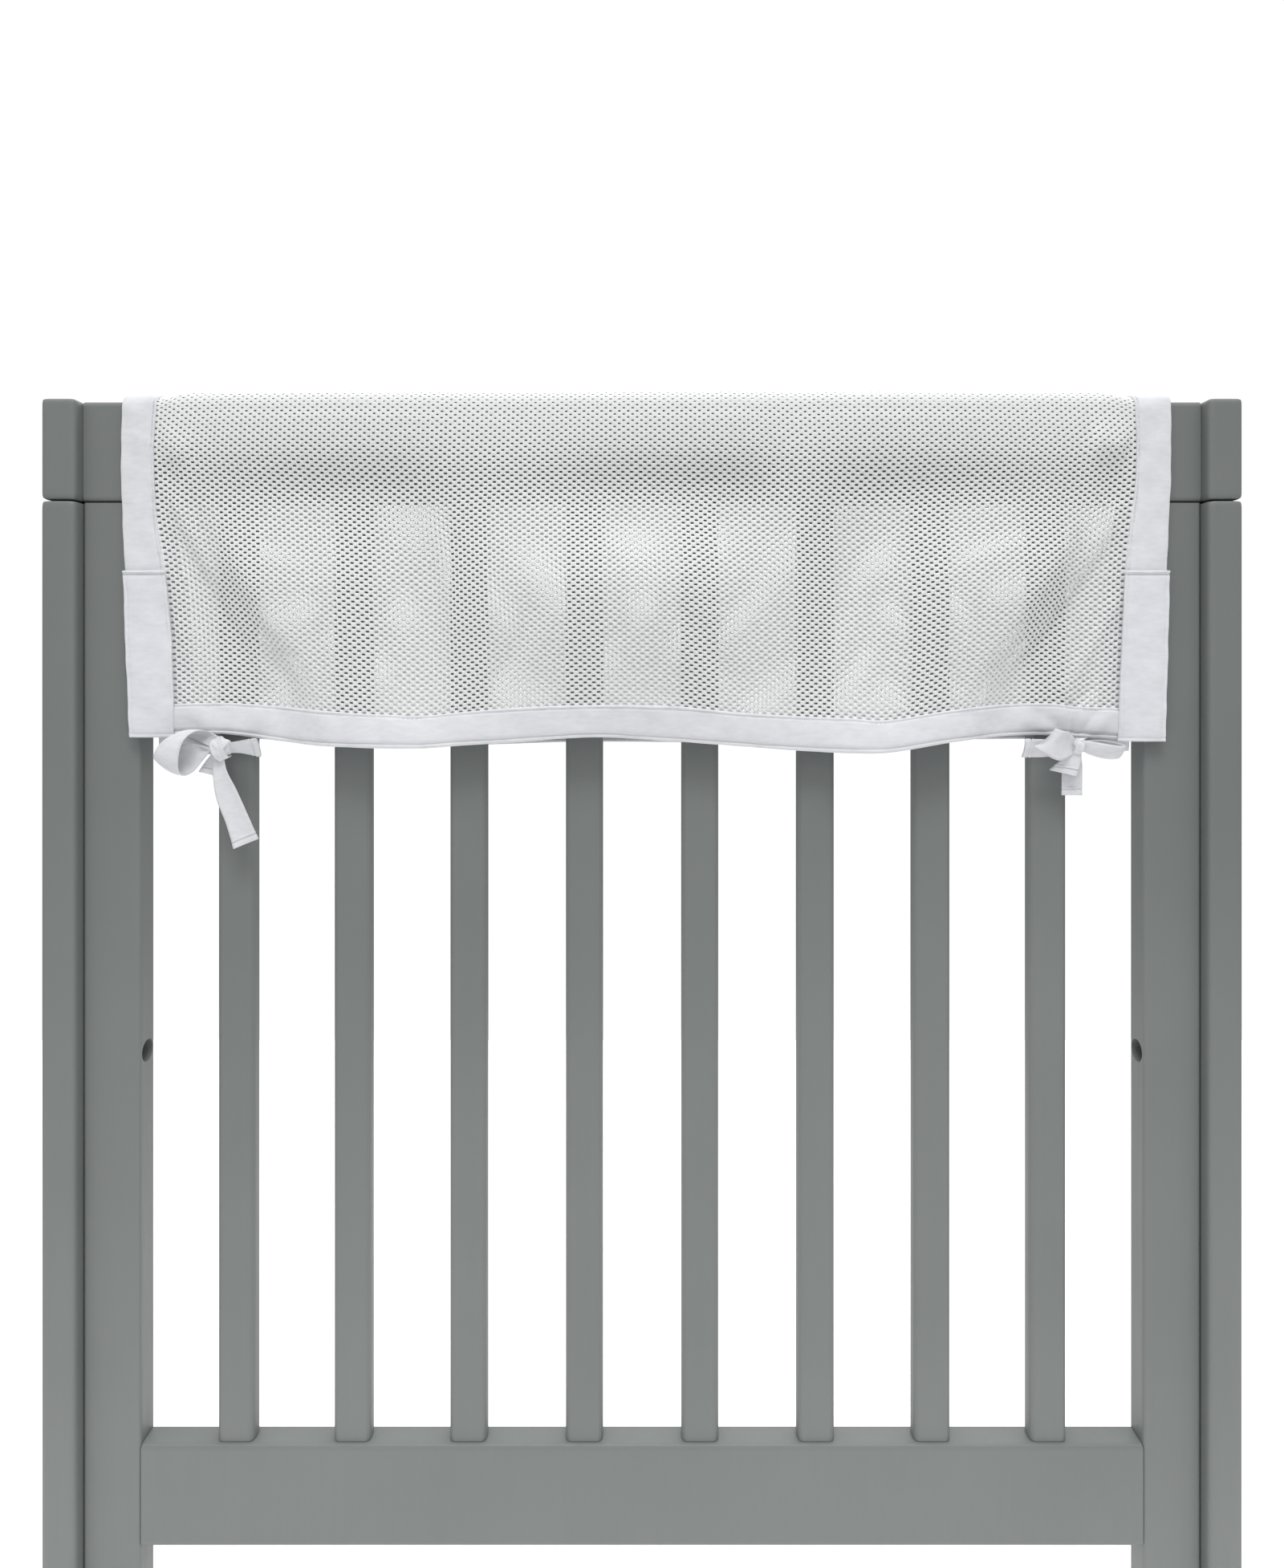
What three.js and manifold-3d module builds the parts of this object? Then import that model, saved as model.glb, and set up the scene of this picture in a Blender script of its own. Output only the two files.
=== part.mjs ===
// A see-through mesh cover over the top rail of a crib's end panel, tied with a bow at each lower corner.
// Millimetres, +Z up, +X to the viewer's right, +Y away from the viewer, who stands outside the crib.
// "drop" is a distance down from the top of the rail; "stand" is how far cloth hangs off the wood.
import * as THREE from "three";
import { mergeVertices } from "three/addons/utils/BufferGeometryUtils.js";
import Module from "manifold-3d";

const wasm = await Module();
wasm.setup();

// The crib's end panel
const PANEL_HEIGHT = 890;
const PANEL_HALF = 373;
const POST = { width: 21.7, front: -17.5, back: 50.5, round: 2 };
const WOOD_DEPTH = 18;
const RAIL_HEIGHT = 63;
const RAIL_ROUND = 3;
const LEG_INNER = 315;
const LEG_ROUND = 2;
const ROUND_STEPS = 2;
const SLAT = { count: 8, pitch: 73.3, width: 23.5, depth: 12, round: 4 };
const LOW_RAIL = { bottom: 170, height: 64 };
const BOLT_HOLE = { radius: 7, depth: 12, drop: 411, sides: 20 };
const JOINT_GAP = 0.8;
const FIT_GAP = 0.3;
const SEAM_GAP = 0.5;

// The cover's cloth
const MESH_THICK = 2;
const BINDING_THICK = 2.4;
const PATCH_THICK = 1.6;
const CLEAR = 2.4;
const CROWN_DROP = 8;
const CROWN_POWER = 0.5;
const ARCH = { edge: 1, middle: 4.6, run: 18 };
const FLANK = 36;
const BINDING_FOOT = { left: 210.8, right: 213.3 };
const PATCH_TOP = 107;
const PATCH_OVER = 0.7;
const LEVELS = { crown: CROWN_DROP, roll: 25, rail: 50, middle: 120, hem: 200 };

// Cells of the cloth's grids: across the cover, up a flap, over the rail, and on the small pieces
const GRID = { columns: 48, flap: 12, crown: 8, hem: 1, binding: 2, patch: 4, tape: 2, tapeSteps: 2 };
const KNOT_GRID = { around: 10, down: 8 };
// How far to each side a surface is read for its normal, in cells, and how close equal corners lie
const NORMAL_REACH = 0.1;
const SAME_CORNER = 1e-4;

// One row per crest or valley of the front flap: stand at the roll under the crown, low on the rail, half
// way down and at the hem, then the drop of the hem's sewn top and of its lower edge.
const FRONT_FOLDS = [
  { x: -325, roll: 0.5, rail: 0.5, middle: 1, hem: 1, top: 190.5, edge: 210.5 },
  { x: -285, roll: 3, rail: 1.5, middle: 8, hem: 5, top: 189.2, edge: 208.9 },
  { x: -258, roll: 5, rail: 2, middle: 12, hem: 8, top: 188.8, edge: 208.9 },
  { x: -213, roll: 6, rail: 0.5, middle: 14, hem: 11, top: 191.8, edge: 214.5 },
  { x: -175, roll: 6.5, rail: 0, middle: 11.5, hem: 11, top: 194.8, edge: 216.3 },
  { x: -150, roll: 6, rail: 0, middle: 7, hem: 10, top: 196, edge: 216.8 },
  { x: -131, roll: 5, rail: 2, middle: 2.5, hem: 7, top: 196.4, edge: 216.7 },
  { x: -112, roll: 4, rail: 4, middle: 10, hem: 8, top: 194.3, edge: 215.3 },
  { x: -80, roll: 3.5, rail: 5, middle: 18, hem: 10, top: 191.6, edge: 213.4 },
  { x: -30, roll: 5, rail: 2, middle: 23, hem: 14, top: 189.6, edge: 210 },
  { x: 20, roll: 5.5, rail: 0.5, middle: 22, hem: 12, top: 190.4, edge: 212.8 },
  { x: 60, roll: 6.5, rail: 0, middle: 17, hem: 12, top: 194.3, edge: 215.6 },
  { x: 95, roll: 4, rail: 4, middle: 10, hem: 8, top: 196.6, edge: 218.4 },
  { x: 127, roll: 6, rail: 1, middle: 3, hem: 8, top: 198, edge: 219.8 },
  { x: 150, roll: 6.5, rail: 0, middle: 8, hem: 11, top: 199, edge: 219.2 },
  { x: 190, roll: 6, rail: 1, middle: 16, hem: 12, top: 192.8, edge: 213 },
  { x: 220, roll: 5, rail: 2, middle: 17, hem: 10, top: 189.9, edge: 210.2 },
  { x: 255, roll: 4, rail: 3, middle: 15, hem: 5, top: 189.1, edge: 209.4 },
  { x: 272, roll: 3.5, rail: 1.5, middle: 12, hem: 3, top: 191.1, edge: 210.6 },
  { x: 330, roll: 0.5, rail: 0.5, middle: 1, hem: 1, top: 192.5, edge: 213.3 },
];

// The same for the back flap, which hangs more evenly.
const BACK_FOLDS = [
  { x: -325, roll: 0.5, rail: 0.5, middle: 1, hem: 1, top: 192, edge: 211.5 },
  { x: -220, roll: 4, rail: 1.5, middle: 9, hem: 6, top: 194, edge: 214.5 },
  { x: -120, roll: 3, rail: 0.5, middle: 3, hem: 2, top: 197, edge: 217.5 },
  { x: -40, roll: 4.5, rail: 2, middle: 12, hem: 8, top: 196, edge: 216 },
  { x: 30, roll: 3.5, rail: 1, middle: 12, hem: 9, top: 196, edge: 216.5 },
  { x: 120, roll: 4.5, rail: 2, middle: 4, hem: 3, top: 196.5, edge: 217 },
  { x: 215, roll: 3.5, rail: 1, middle: 10, hem: 7, top: 193.5, edge: 214 },
  { x: 330, roll: 0.5, rail: 0.5, middle: 1, hem: 1, top: 192.5, edge: 213 },
];

// The cover's sides, which draw in towards the hem: outer edge of the binding and its seam with the mesh.
const SIDES = [
  { drop: 0, leftOuter: -324.3, leftSeam: -302, rightSeam: 307, rightOuter: 330.5 },
  { drop: 30, leftOuter: -325, leftSeam: -304.5, rightSeam: 308.5, rightOuter: 330.2 },
  { drop: 55, leftOuter: -325, leftSeam: -304, rightSeam: 307.5, rightOuter: 329.6 },
  { drop: 75, leftOuter: -324, leftSeam: -302.5, rightSeam: 304.5, rightOuter: 328.8 },
  { drop: 104, leftOuter: -322.5, leftSeam: -297.8, rightSeam: 301.5, rightOuter: 327.5 },
  { drop: 146, leftOuter: -320.8, leftSeam: -294, rightSeam: 299.5, rightOuter: 326.8 },
  { drop: 190, leftOuter: -319, leftSeam: -292, rightSeam: 297.5, rightOuter: 325.5 },
  { drop: 215, leftOuter: -318.3, leftSeam: -291.8, rightSeam: 296.5, rightOuter: 324.8 },
];

// The foot of the steep fold near each side, outside which the cloth lies back against the wood.
const FOLD_FEET = [
  { drop: 0, left: -328, right: 333 },
  { drop: 40, left: -318, right: 318 },
  { drop: 75, left: -294, right: 302 },
  { drop: 104, left: -280, right: 285 },
  { drop: 142, left: -256, right: 258 },
  { drop: 170, left: -236, right: 240 },
  { drop: 220, left: -222, right: 226 },
];

// The ties are woven tapes. Each row is a place on a tape's middle line; its width runs along a line that
// "lean" turns from upright towards +X and "tip" turns towards the viewer, in degrees.
const TAPE_THICK = 1.2;
const LEFT_KNOT = { x: -260.5, y: -18, drop: 217.5, wide: 6, deep: 6, tall: 7 };
const RIGHT_KNOT = { x: 269, y: -19, drop: 216.5, wide: 5, deep: 5, tall: 5.5 };

const LEFT_TAPES = {
  frontTie: [
    { x: -303, y: -10, drop: 214.5, lean: 0, tip: 0, width: 13 },
    { x: -288, y: -10, drop: 215.5, lean: 0, tip: 0, width: 12 },
    { x: -275, y: -11.5, drop: 216.5, lean: 0, tip: 0, width: 10 },
    { x: -262, y: -17, drop: 217.5, lean: 0, tip: 0, width: 7 },
  ],
  backTie: [
    { x: -303, y: 10, drop: 214.5, lean: 0, tip: 0, width: 13 },
    { x: -293, y: 8.5, drop: 215, lean: 0, tip: 0, width: 13 },
    { x: -285, y: 3, drop: 215.5, lean: 0, tip: 0, width: 12 },
    { x: -276, y: -5, drop: 216.5, lean: 0, tip: 0, width: 10 },
    { x: -268, y: -12.5, drop: 217, lean: 0, tip: 0, width: 8 },
    { x: -261, y: -17, drop: 217.5, lean: 0, tip: 0, width: 6 },
  ],
  loop: [
    { x: -262, y: -16, drop: 216.5, lean: 30, tip: 0, width: 6 },
    { x: -268, y: -15.3, drop: 212.5, lean: 60, tip: 0, width: 10 },
    { x: -276, y: -15.8, drop: 209, lean: 74, tip: 5, width: 14.5 },
    { x: -282, y: -21, drop: 208.3, lean: 76, tip: 12, width: 17 },
    { x: -286.5, y: -27, drop: 212.5, lean: 82, tip: 15, width: 17 },
    { x: -288.8, y: -29.5, drop: 220, lean: 92, tip: 12, width: 17 },
    { x: -289.8, y: -27.5, drop: 226, lean: 110, tip: 10, width: 17.5 },
    { x: -288, y: -23.5, drop: 229, lean: 121, tip: 8, width: 17.5 },
    { x: -283.5, y: -20.5, drop: 226.5, lean: 123, tip: 4, width: 17.5 },
    { x: -277.5, y: -19.3, drop: 219.5, lean: 121, tip: 0, width: 16.5 },
    { x: -271, y: -18.8, drop: 216, lean: 105, tip: 0, width: 12 },
    { x: -262.5, y: -18.5, drop: 217, lean: 60, tip: 0, width: 8 },
  ],
  sideTail: [
    { x: -259, y: -18, drop: 217.5, lean: 0, tip: 30, width: 7 },
    { x: -250, y: -19, drop: 216.5, lean: 0, tip: 35, width: 9 },
    { x: -243, y: -20, drop: 216.5, lean: 0, tip: 35, width: 12 },
    { x: -236.6, y: -20, drop: 216.7, lean: 0, tip: 35, width: 14 },
  ],
  shortTail: [
    { x: -262, y: -16.5, drop: 219, lean: 90, tip: 0, width: 7 },
    { x: -266.5, y: -16, drop: 227, lean: 100, tip: 0, width: 10 },
    { x: -269.5, y: -15.5, drop: 233.5, lean: 105, tip: 0, width: 12 },
  ],
  longTail: [
    { x: -261.5, y: -19, drop: 220, lean: 85, tip: 0, width: 6 },
    { x: -260.5, y: -20, drop: 231, lean: 80, tip: 0, width: 8.5 },
    { x: -256.5, y: -20, drop: 245, lean: 68, tip: 0, width: 13.5 },
    { x: -250.5, y: -19.5, drop: 260, lean: 66, tip: 0, width: 14.5 },
    { x: -244.6, y: -19, drop: 276.3, lean: 68, tip: 0, width: 16.5 },
  ],
};

const RIGHT_TAPES = {
  frontTie: [
    { x: 305, y: -10, drop: 213.5, lean: 0, tip: 0, width: 12 },
    { x: 292, y: -10, drop: 215, lean: 0, tip: 0, width: 10 },
    { x: 283, y: -10, drop: 216, lean: 0, tip: 0, width: 8 },
    { x: 276, y: -13, drop: 216.3, lean: 0, tip: 0, width: 6.5 },
    { x: 270, y: -17, drop: 216, lean: 0, tip: 0, width: 6 },
  ],
  backTie: [
    { x: 305, y: 10, drop: 214.5, lean: 0, tip: 0, width: 13 },
    { x: 297, y: 8.5, drop: 215, lean: 0, tip: 0, width: 13 },
    { x: 290, y: 3, drop: 215.5, lean: 0, tip: 0, width: 12 },
    { x: 282, y: -5, drop: 216, lean: 0, tip: 0, width: 9 },
    { x: 275, y: -12.5, drop: 216, lean: 0, tip: 0, width: 7 },
    { x: 269, y: -17, drop: 216, lean: 0, tip: 0, width: 6 },
  ],
  leftLoop: [
    { x: 267, y: -20, drop: 216, lean: 5, tip: 0, width: 9 },
    { x: 258.5, y: -25.5, drop: 215.5, lean: 20, tip: 0, width: 18.5 },
    { x: 251, y: -28, drop: 212.8, lean: 42, tip: 0, width: 18.5 },
    { x: 246, y: -26, drop: 210.2, lean: 50, tip: 0, width: 17.5 },
    { x: 250, y: -23.4, drop: 212, lean: 44, tip: 0, width: 16 },
    { x: 259, y: -21, drop: 215, lean: 25, tip: 0, width: 13 },
    { x: 267, y: -18, drop: 216, lean: 5, tip: 0, width: 7 },
  ],
  rightLoop: [
    { x: 270, y: -20, drop: 214.5, lean: 10, tip: 30, width: 6.5 },
    { x: 277, y: -23.5, drop: 217, lean: 14, tip: 30, width: 9.5 },
    { x: 286, y: -24.5, drop: 219, lean: 14, tip: 30, width: 10.5 },
    { x: 292.5, y: -23.5, drop: 219.5, lean: 14, tip: 30, width: 10 },
    { x: 295.3, y: -21.5, drop: 219, lean: 10, tip: 30, width: 9.5 },
    { x: 291, y: -19.8, drop: 217.6, lean: 10, tip: 30, width: 9.5 },
    { x: 281, y: -19, drop: 215.8, lean: 8, tip: 30, width: 9 },
    { x: 271, y: -18, drop: 215.5, lean: 0, tip: 30, width: 6 },
  ],
  sideTail: [
    { x: 268, y: -17, drop: 217, lean: 0, tip: 20, width: 6 },
    { x: 258, y: -18, drop: 217.3, lean: 0, tip: 28, width: 11 },
    { x: 247, y: -18.5, drop: 217.2, lean: 0, tip: 28, width: 13 },
    { x: 236, y: -18.5, drop: 217.1, lean: 0, tip: 28, width: 13 },
  ],
  shortTail: [
    { x: 267.5, y: -20.5, drop: 218, lean: 80, tip: 0, width: 7 },
    { x: 263.5, y: -21.5, drop: 225.5, lean: 98, tip: 0, width: 13 },
    { x: 259, y: -21.5, drop: 232.3, lean: 103, tip: 0, width: 17 },
  ],
  longTail: [
    { x: 268.5, y: -16.5, drop: 218, lean: 90, tip: 0, width: 7 },
    { x: 267, y: -16.5, drop: 230, lean: 90, tip: 0, width: 12.4 },
    { x: 266.6, y: -16.5, drop: 246.5, lean: 90, tip: 0, width: 12.4 },
  ],
};

const PAINT = { color: 0x787c7b, roughness: 0.5, metalness: 0 };
const WHITE_MESH = { color: 0xe6e8ea, roughness: 0.9, metalness: 0 };
const WHITE_CLOTH = { color: 0xdddde2, roughness: 0.85, metalness: 0 };

const cover = new THREE.Group();
const panel = new THREE.Group();

// A named piece with a material of its own
function addMesh(group, name, geometry, finish) {
  const mesh = new THREE.Mesh(geometry, new THREE.MeshStandardMaterial(finish));
  mesh.name = name;
  group.add(mesh);
  return mesh;
}

const clamp01 = (t) => Math.min(1, Math.max(0, t));
const smooth = (t) => clamp01(t) ** 2 * (3 - 2 * clamp01(t));
const mix = THREE.MathUtils.lerp;

// A smooth curve through one column of a table, read at a value of its key column.
function along(table, key, column, at) {
  const last = table.length - 1;
  let i = 0;
  while (i < last - 1 && at > table[i + 1][key]) i += 1;
  const [a, b] = [table[i], table[i + 1]];
  const before = table[Math.max(i - 1, 0)];
  const after = table[Math.min(i + 2, last)];
  const span = b[key] - a[key];
  const t = clamp01((at - a[key]) / span);
  const startSlope = ((b[column] - before[column]) / (b[key] - before[key])) * span;
  const endSlope = ((after[column] - a[column]) / (after[key] - a[key])) * span;
  const rise = b[column] - a[column];
  return (
    a[column] +
    t * startSlope +
    t * t * (3 * rise - 2 * startSlope - endSlope) +
    t * t * t * (startSlope + endSlope - 2 * rise)
  );
}

// How far the cloth hangs off its closest place on the wood.
function stand(folds, x, drop) {
  const levels = [
    { drop: LEVELS.crown, out: 0 },
    { drop: LEVELS.roll, out: along(folds, "x", "roll", x) },
    { drop: LEVELS.rail, out: along(folds, "x", "rail", x) },
    { drop: LEVELS.middle, out: along(folds, "x", "middle", x) },
    { drop: LEVELS.hem, out: along(folds, "x", "hem", x) },
  ];
  const left = along(FOLD_FEET, "drop", "left", drop);
  const right = along(FOLD_FEET, "drop", "right", drop);
  const inside = smooth((x - left) / FLANK) * smooth((right - x) / FLANK);
  return Math.max(0, along(levels, "drop", "out", drop)) * inside;
}

// A point of the cover at x, half way through its thickness: t runs from the front's foot, at drop
// "front", over the rail to the back's foot, at drop "back". "stack" is what lies between it and the wood.
function coverPoint(xAt, t, feet, stack) {
  const base = WOOD_DEPTH / 2 + CLEAR + stack;
  const flapShare = GRID.flap / (2 * GRID.flap + GRID.crown);
  const onFront = t <= flapShare;
  if (onFront || t >= 1 - flapShare) {
    const up = onFront ? t / flapShare : (1 - t) / flapShare;
    const folds = onFront ? FRONT_FOLDS : BACK_FOLDS;
    const x = xAt(mix(LEVELS.hem, CROWN_DROP, up));
    const foot = onFront ? feet.front(x) : feet.back(x);
    const drop = mix(foot, CROWN_DROP, up);
    const y = base + stand(folds, x, drop);
    return new THREE.Vector3(x, onFront ? -y : y, PANEL_HEIGHT - drop);
  }
  const turn = (Math.PI * (t - flapShare)) / (1 - 2 * flapShare);
  const x = xAt(CROWN_DROP);
  const inward = Math.min(x - SIDES[0].leftSeam, SIDES[0].rightSeam - x);
  const arch = mix(ARCH.edge, ARCH.middle, smooth(inward / ARCH.run));
  const across = Math.sign(Math.cos(turn)) * Math.abs(Math.cos(turn)) ** CROWN_POWER;
  const rise = Math.sin(turn) ** CROWN_POWER * (CROWN_DROP + CLEAR + stack + arch - ARCH.edge);
  return new THREE.Vector3(x, -base * across, PANEL_HEIGHT - CROWN_DROP + rise);
}

// A closed solid on a grid of middle points: two faces half a thickness to each side, and four edges.
// Each quad is split along its shorter diagonal, which follows a crease that runs aslant.
function sheetGeometry(columns, rows, thickness, middle) {
  const face = (columns + 1) * (rows + 1);
  const middles = [];
  const points = [];
  for (const side of [0.5, -0.5])
    for (let j = 0; j <= rows; j += 1)
      for (let i = 0; i <= columns; i += 1) {
        const read = (di, dj) =>
          middle(
            clamp01((i + di * NORMAL_REACH) / columns),
            clamp01((j + dj * NORMAL_REACH) / rows),
          );
        const alongColumns = read(1, 0).sub(read(-1, 0));
        const alongRows = read(0, 1).sub(read(0, -1));
        const normal = alongColumns.cross(alongRows).normalize();
        middles.push(read(0, 0));
        points.push(...read(0, 0).addScaledVector(normal, side * thickness));
      }
  const at = (i, j) => j * (columns + 1) + i;
  const index = [];
  for (let j = 0; j < rows; j += 1)
    for (let i = 0; i < columns; i += 1) {
      let [a, b, c, d] = [at(i, j), at(i + 1, j), at(i + 1, j + 1), at(i, j + 1)];
      const turned = middles[b].distanceTo(middles[d]) < middles[a].distanceTo(middles[c]);
      if (turned) [a, b, c, d] = [b, c, d, a];
      index.push(a, b, c, a, c, d);
      index.push(face + a, face + c, face + b, face + a, face + d, face + c);
    }
  const rim = [];
  for (let i = 0; i < columns; i += 1) rim.push(at(i, 0));
  for (let j = 0; j < rows; j += 1) rim.push(at(columns, j));
  for (let i = columns; i > 0; i -= 1) rim.push(at(i, rows));
  for (let j = rows; j > 0; j -= 1) rim.push(at(0, j));
  rim.forEach((a, k) => {
    const b = rim[(k + 1) % rim.length];
    index.push(a, face + a, face + b, a, face + b, b);
  });
  const geometry = new THREE.BufferGeometry();
  geometry.setAttribute("position", new THREE.Float32BufferAttribute(points, 3));
  geometry.setIndex(index);
  return geometry;
}

// A solid for joins and cuts, and its way back to a geometry.
function solidOf(geometry) {
  const bare = geometry.clone();
  bare.deleteAttribute("normal");
  bare.deleteAttribute("uv");
  const merged = mergeVertices(bare, SAME_CORNER);
  return new wasm.Manifold(
    new wasm.Mesh({
      numProp: 3,
      vertProperties: merged.attributes.position.array,
      triVerts: new Uint32Array(merged.index.array),
    }),
  );
}

function geometryOf(solid) {
  const mesh = solid.getMesh();
  const geometry = new THREE.BufferGeometry();
  geometry.setAttribute("position", new THREE.BufferAttribute(mesh.vertProperties, mesh.numProp));
  geometry.setIndex(new THREE.BufferAttribute(mesh.triVerts, 1));
  return geometry;
}

// A bar whose long edges are rounded, along Z from its foot; "wide" is in X and "deep" in Y.
function barGeometry(wide, deep, long, round) {
  const [w, d] = [wide / 2, deep / 2];
  const section = new THREE.Shape();
  section.absarc(w - round, d - round, round, 0, Math.PI / 2);
  section.absarc(round - w, d - round, round, Math.PI / 2, Math.PI);
  section.absarc(round - w, round - d, round, Math.PI, 1.5 * Math.PI);
  section.absarc(w - round, round - d, round, 1.5 * Math.PI, 2 * Math.PI);
  return new THREE.ExtrudeGeometry(section, {
    depth: long,
    bevelEnabled: false,
    curveSegments: ROUND_STEPS,
  });
}

// The top and bottom rails, which lie along X
function buildRails() {
  const railLength = 2 * (PANEL_HALF - POST.width - FIT_GAP);
  const top = addMesh(
    panel,
    "top_rail",
    barGeometry(RAIL_HEIGHT, WOOD_DEPTH, railLength, RAIL_ROUND),
    PAINT,
  );
  top.rotation.y = Math.PI / 2;
  top.position.set(-railLength / 2, 0, PANEL_HEIGHT - RAIL_HEIGHT / 2);
  const lowLength = 2 * (LEG_INNER - FIT_GAP);
  const low = addMesh(
    panel,
    "bottom_rail",
    barGeometry(LOW_RAIL.height, WOOD_DEPTH, lowLength, RAIL_ROUND),
    PAINT,
  );
  low.rotation.y = Math.PI / 2;
  low.position.set(-lowLength / 2, 0, LOW_RAIL.bottom + LOW_RAIL.height / 2);
}

// A leg plank with its blind bolt hole, the post at its end, and the cap block over that
function buildSide(name, side) {
  const legHeight = PANEL_HEIGHT - RAIL_HEIGHT - JOINT_GAP;
  const legOuter = PANEL_HALF - POST.width - FIT_GAP;
  const legWidth = legOuter - LEG_INNER;
  const leg = barGeometry(legWidth, WOOD_DEPTH, legHeight, LEG_ROUND);
  const { radius, depth, sides } = BOLT_HOLE;
  const bolt = new THREE.CylinderGeometry(radius, radius, 2 * depth, sides);
  bolt.rotateZ(Math.PI / 2);
  bolt.translate((-side * legWidth) / 2, 0, PANEL_HEIGHT - BOLT_HOLE.drop);
  const bored = geometryOf(solidOf(leg).subtract(solidOf(bolt)));
  const plank = addMesh(panel, `leg_plank_${name}`, bored, PAINT);
  plank.position.x = side * (LEG_INNER + legWidth / 2);

  const postDepth = POST.back - POST.front;
  const postX = side * (PANEL_HALF - POST.width / 2);
  const postY = (POST.back + POST.front) / 2;
  const post = addMesh(
    panel,
    `corner_post_${name}`,
    barGeometry(POST.width, postDepth, legHeight, POST.round),
    PAINT,
  );
  post.position.set(postX, postY, 0);
  const cap = addMesh(
    panel,
    `cap_block_${name}`,
    barGeometry(POST.width, postDepth, RAIL_HEIGHT, POST.round),
    PAINT,
  );
  cap.position.set(postX, postY, PANEL_HEIGHT - RAIL_HEIGHT);
}

// The uprights between the two rails
function buildSlats() {
  const foot = LOW_RAIL.bottom + LOW_RAIL.height + FIT_GAP;
  const length = PANEL_HEIGHT - RAIL_HEIGHT - FIT_GAP - foot;
  for (let i = 0; i < SLAT.count; i += 1) {
    const slat = addMesh(
      panel,
      `slat_${i + 1}`,
      barGeometry(SLAT.width, SLAT.depth, length, SLAT.round),
      PAINT,
    );
    slat.position.set((i - (SLAT.count - 1) / 2) * SLAT.pitch, 0, foot);
  }
}

// The mesh: one sheet, from the front hem over the rail to the back hem
function buildMesh() {
  const feet = {
    front: (x) => along(FRONT_FOLDS, "x", "top", x),
    back: (x) => along(BACK_FOLDS, "x", "top", x),
  };
  const middle = (u, v) => {
    const xAt = (drop) =>
      mix(
        along(SIDES, "drop", "leftSeam", drop) + SEAM_GAP,
        along(SIDES, "drop", "rightSeam", drop) - SEAM_GAP,
        u,
      );
    return coverPoint(xAt, v, feet, MESH_THICK / 2);
  };
  const rows = 2 * GRID.flap + GRID.crown;
  addMesh(cover, "cover_mesh", sheetGeometry(GRID.columns, rows, MESH_THICK, middle), WHITE_MESH);
}

// The binding round each side, over the rail and down to both lower corners
function buildBinding(name, outer, seam) {
  const foot = BINDING_FOOT[name];
  const feet = { front: () => foot, back: () => foot };
  const [low, high] = name === "left" ? [outer, seam] : [seam, outer];
  const middle = (u, v) => {
    const xAt = (drop) =>
      mix(along(SIDES, "drop", low, drop), along(SIDES, "drop", high, drop), u);
    return coverPoint(xAt, v, feet, BINDING_THICK / 2);
  };
  const rows = 2 * GRID.flap + GRID.crown;
  addMesh(
    cover,
    `side_binding_${name}`,
    sheetGeometry(GRID.binding, rows, BINDING_THICK, middle),
    WHITE_CLOTH,
  );

  for (const face of ["front", "back"]) {
    const sign = face === "front" ? -1 : 1;
    const folds = face === "front" ? FRONT_FOLDS : BACK_FOLDS;
    const stack = BINDING_THICK + FIT_GAP + PATCH_THICK / 2;
    const patch = (u, v) => {
      const drop = mix(PATCH_TOP, foot, v);
      const x = mix(
        along(SIDES, "drop", low, drop) - PATCH_OVER,
        along(SIDES, "drop", high, drop) + PATCH_OVER,
        face === "front" ? 1 - u : u,
      );
      const y = WOOD_DEPTH / 2 + CLEAR + stack + stand(folds, x, drop);
      return new THREE.Vector3(x, sign * y, PANEL_HEIGHT - drop);
    };
    addMesh(
      cover,
      `corner_patch_${name}_${face}`,
      sheetGeometry(GRID.binding, GRID.patch, PATCH_THICK, patch),
      WHITE_CLOTH,
    );
  }
}

// The binding along each hem, between the side bindings
function buildHem(face, folds) {
  const sign = face === "front" ? -1 : 1;
  const middle = (u, v) => {
    const across = face === "front" ? 1 - u : u;
    const x = mix(
      along(SIDES, "drop", "leftSeam", LEVELS.hem) + SEAM_GAP,
      along(SIDES, "drop", "rightSeam", LEVELS.hem) - SEAM_GAP,
      across,
    );
    const top = along(folds, "x", "top", x) + SEAM_GAP;
    const drop = mix(top, along(folds, "x", "edge", x), v);
    const y = WOOD_DEPTH / 2 + CLEAR + BINDING_THICK / 2 + stand(folds, x, drop);
    return new THREE.Vector3(x, sign * y, PANEL_HEIGHT - drop);
  };
  addMesh(
    cover,
    `hem_binding_${face}`,
    sheetGeometry(GRID.columns, GRID.hem, BINDING_THICK, middle),
    WHITE_CLOTH,
  );
}

// One tape, on a smooth curve through its rows
function tapeGeometry(rows) {
  const curve = new THREE.CatmullRomCurve3(
    rows.map(({ x, y, drop }) => new THREE.Vector3(x, y, PANEL_HEIGHT - drop)),
    false,
    "centripetal",
  );
  const table = rows.map((row, place) => ({ ...row, place }));
  const middle = (u, v) => {
    const place = v * (rows.length - 1);
    const lean = THREE.MathUtils.degToRad(along(table, "place", "lean", place));
    const tip = THREE.MathUtils.degToRad(along(table, "place", "tip", place));
    const across = new THREE.Vector3(
      Math.sin(lean) * Math.cos(tip),
      -Math.sin(tip),
      Math.cos(lean) * Math.cos(tip),
    );
    const width = along(table, "place", "width", place);
    return curve.getPoint(v).addScaledVector(across, (u - 0.5) * width);
  };
  return sheetGeometry(GRID.tape, GRID.tapeSteps * (rows.length - 1), TAPE_THICK, middle);
}

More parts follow.
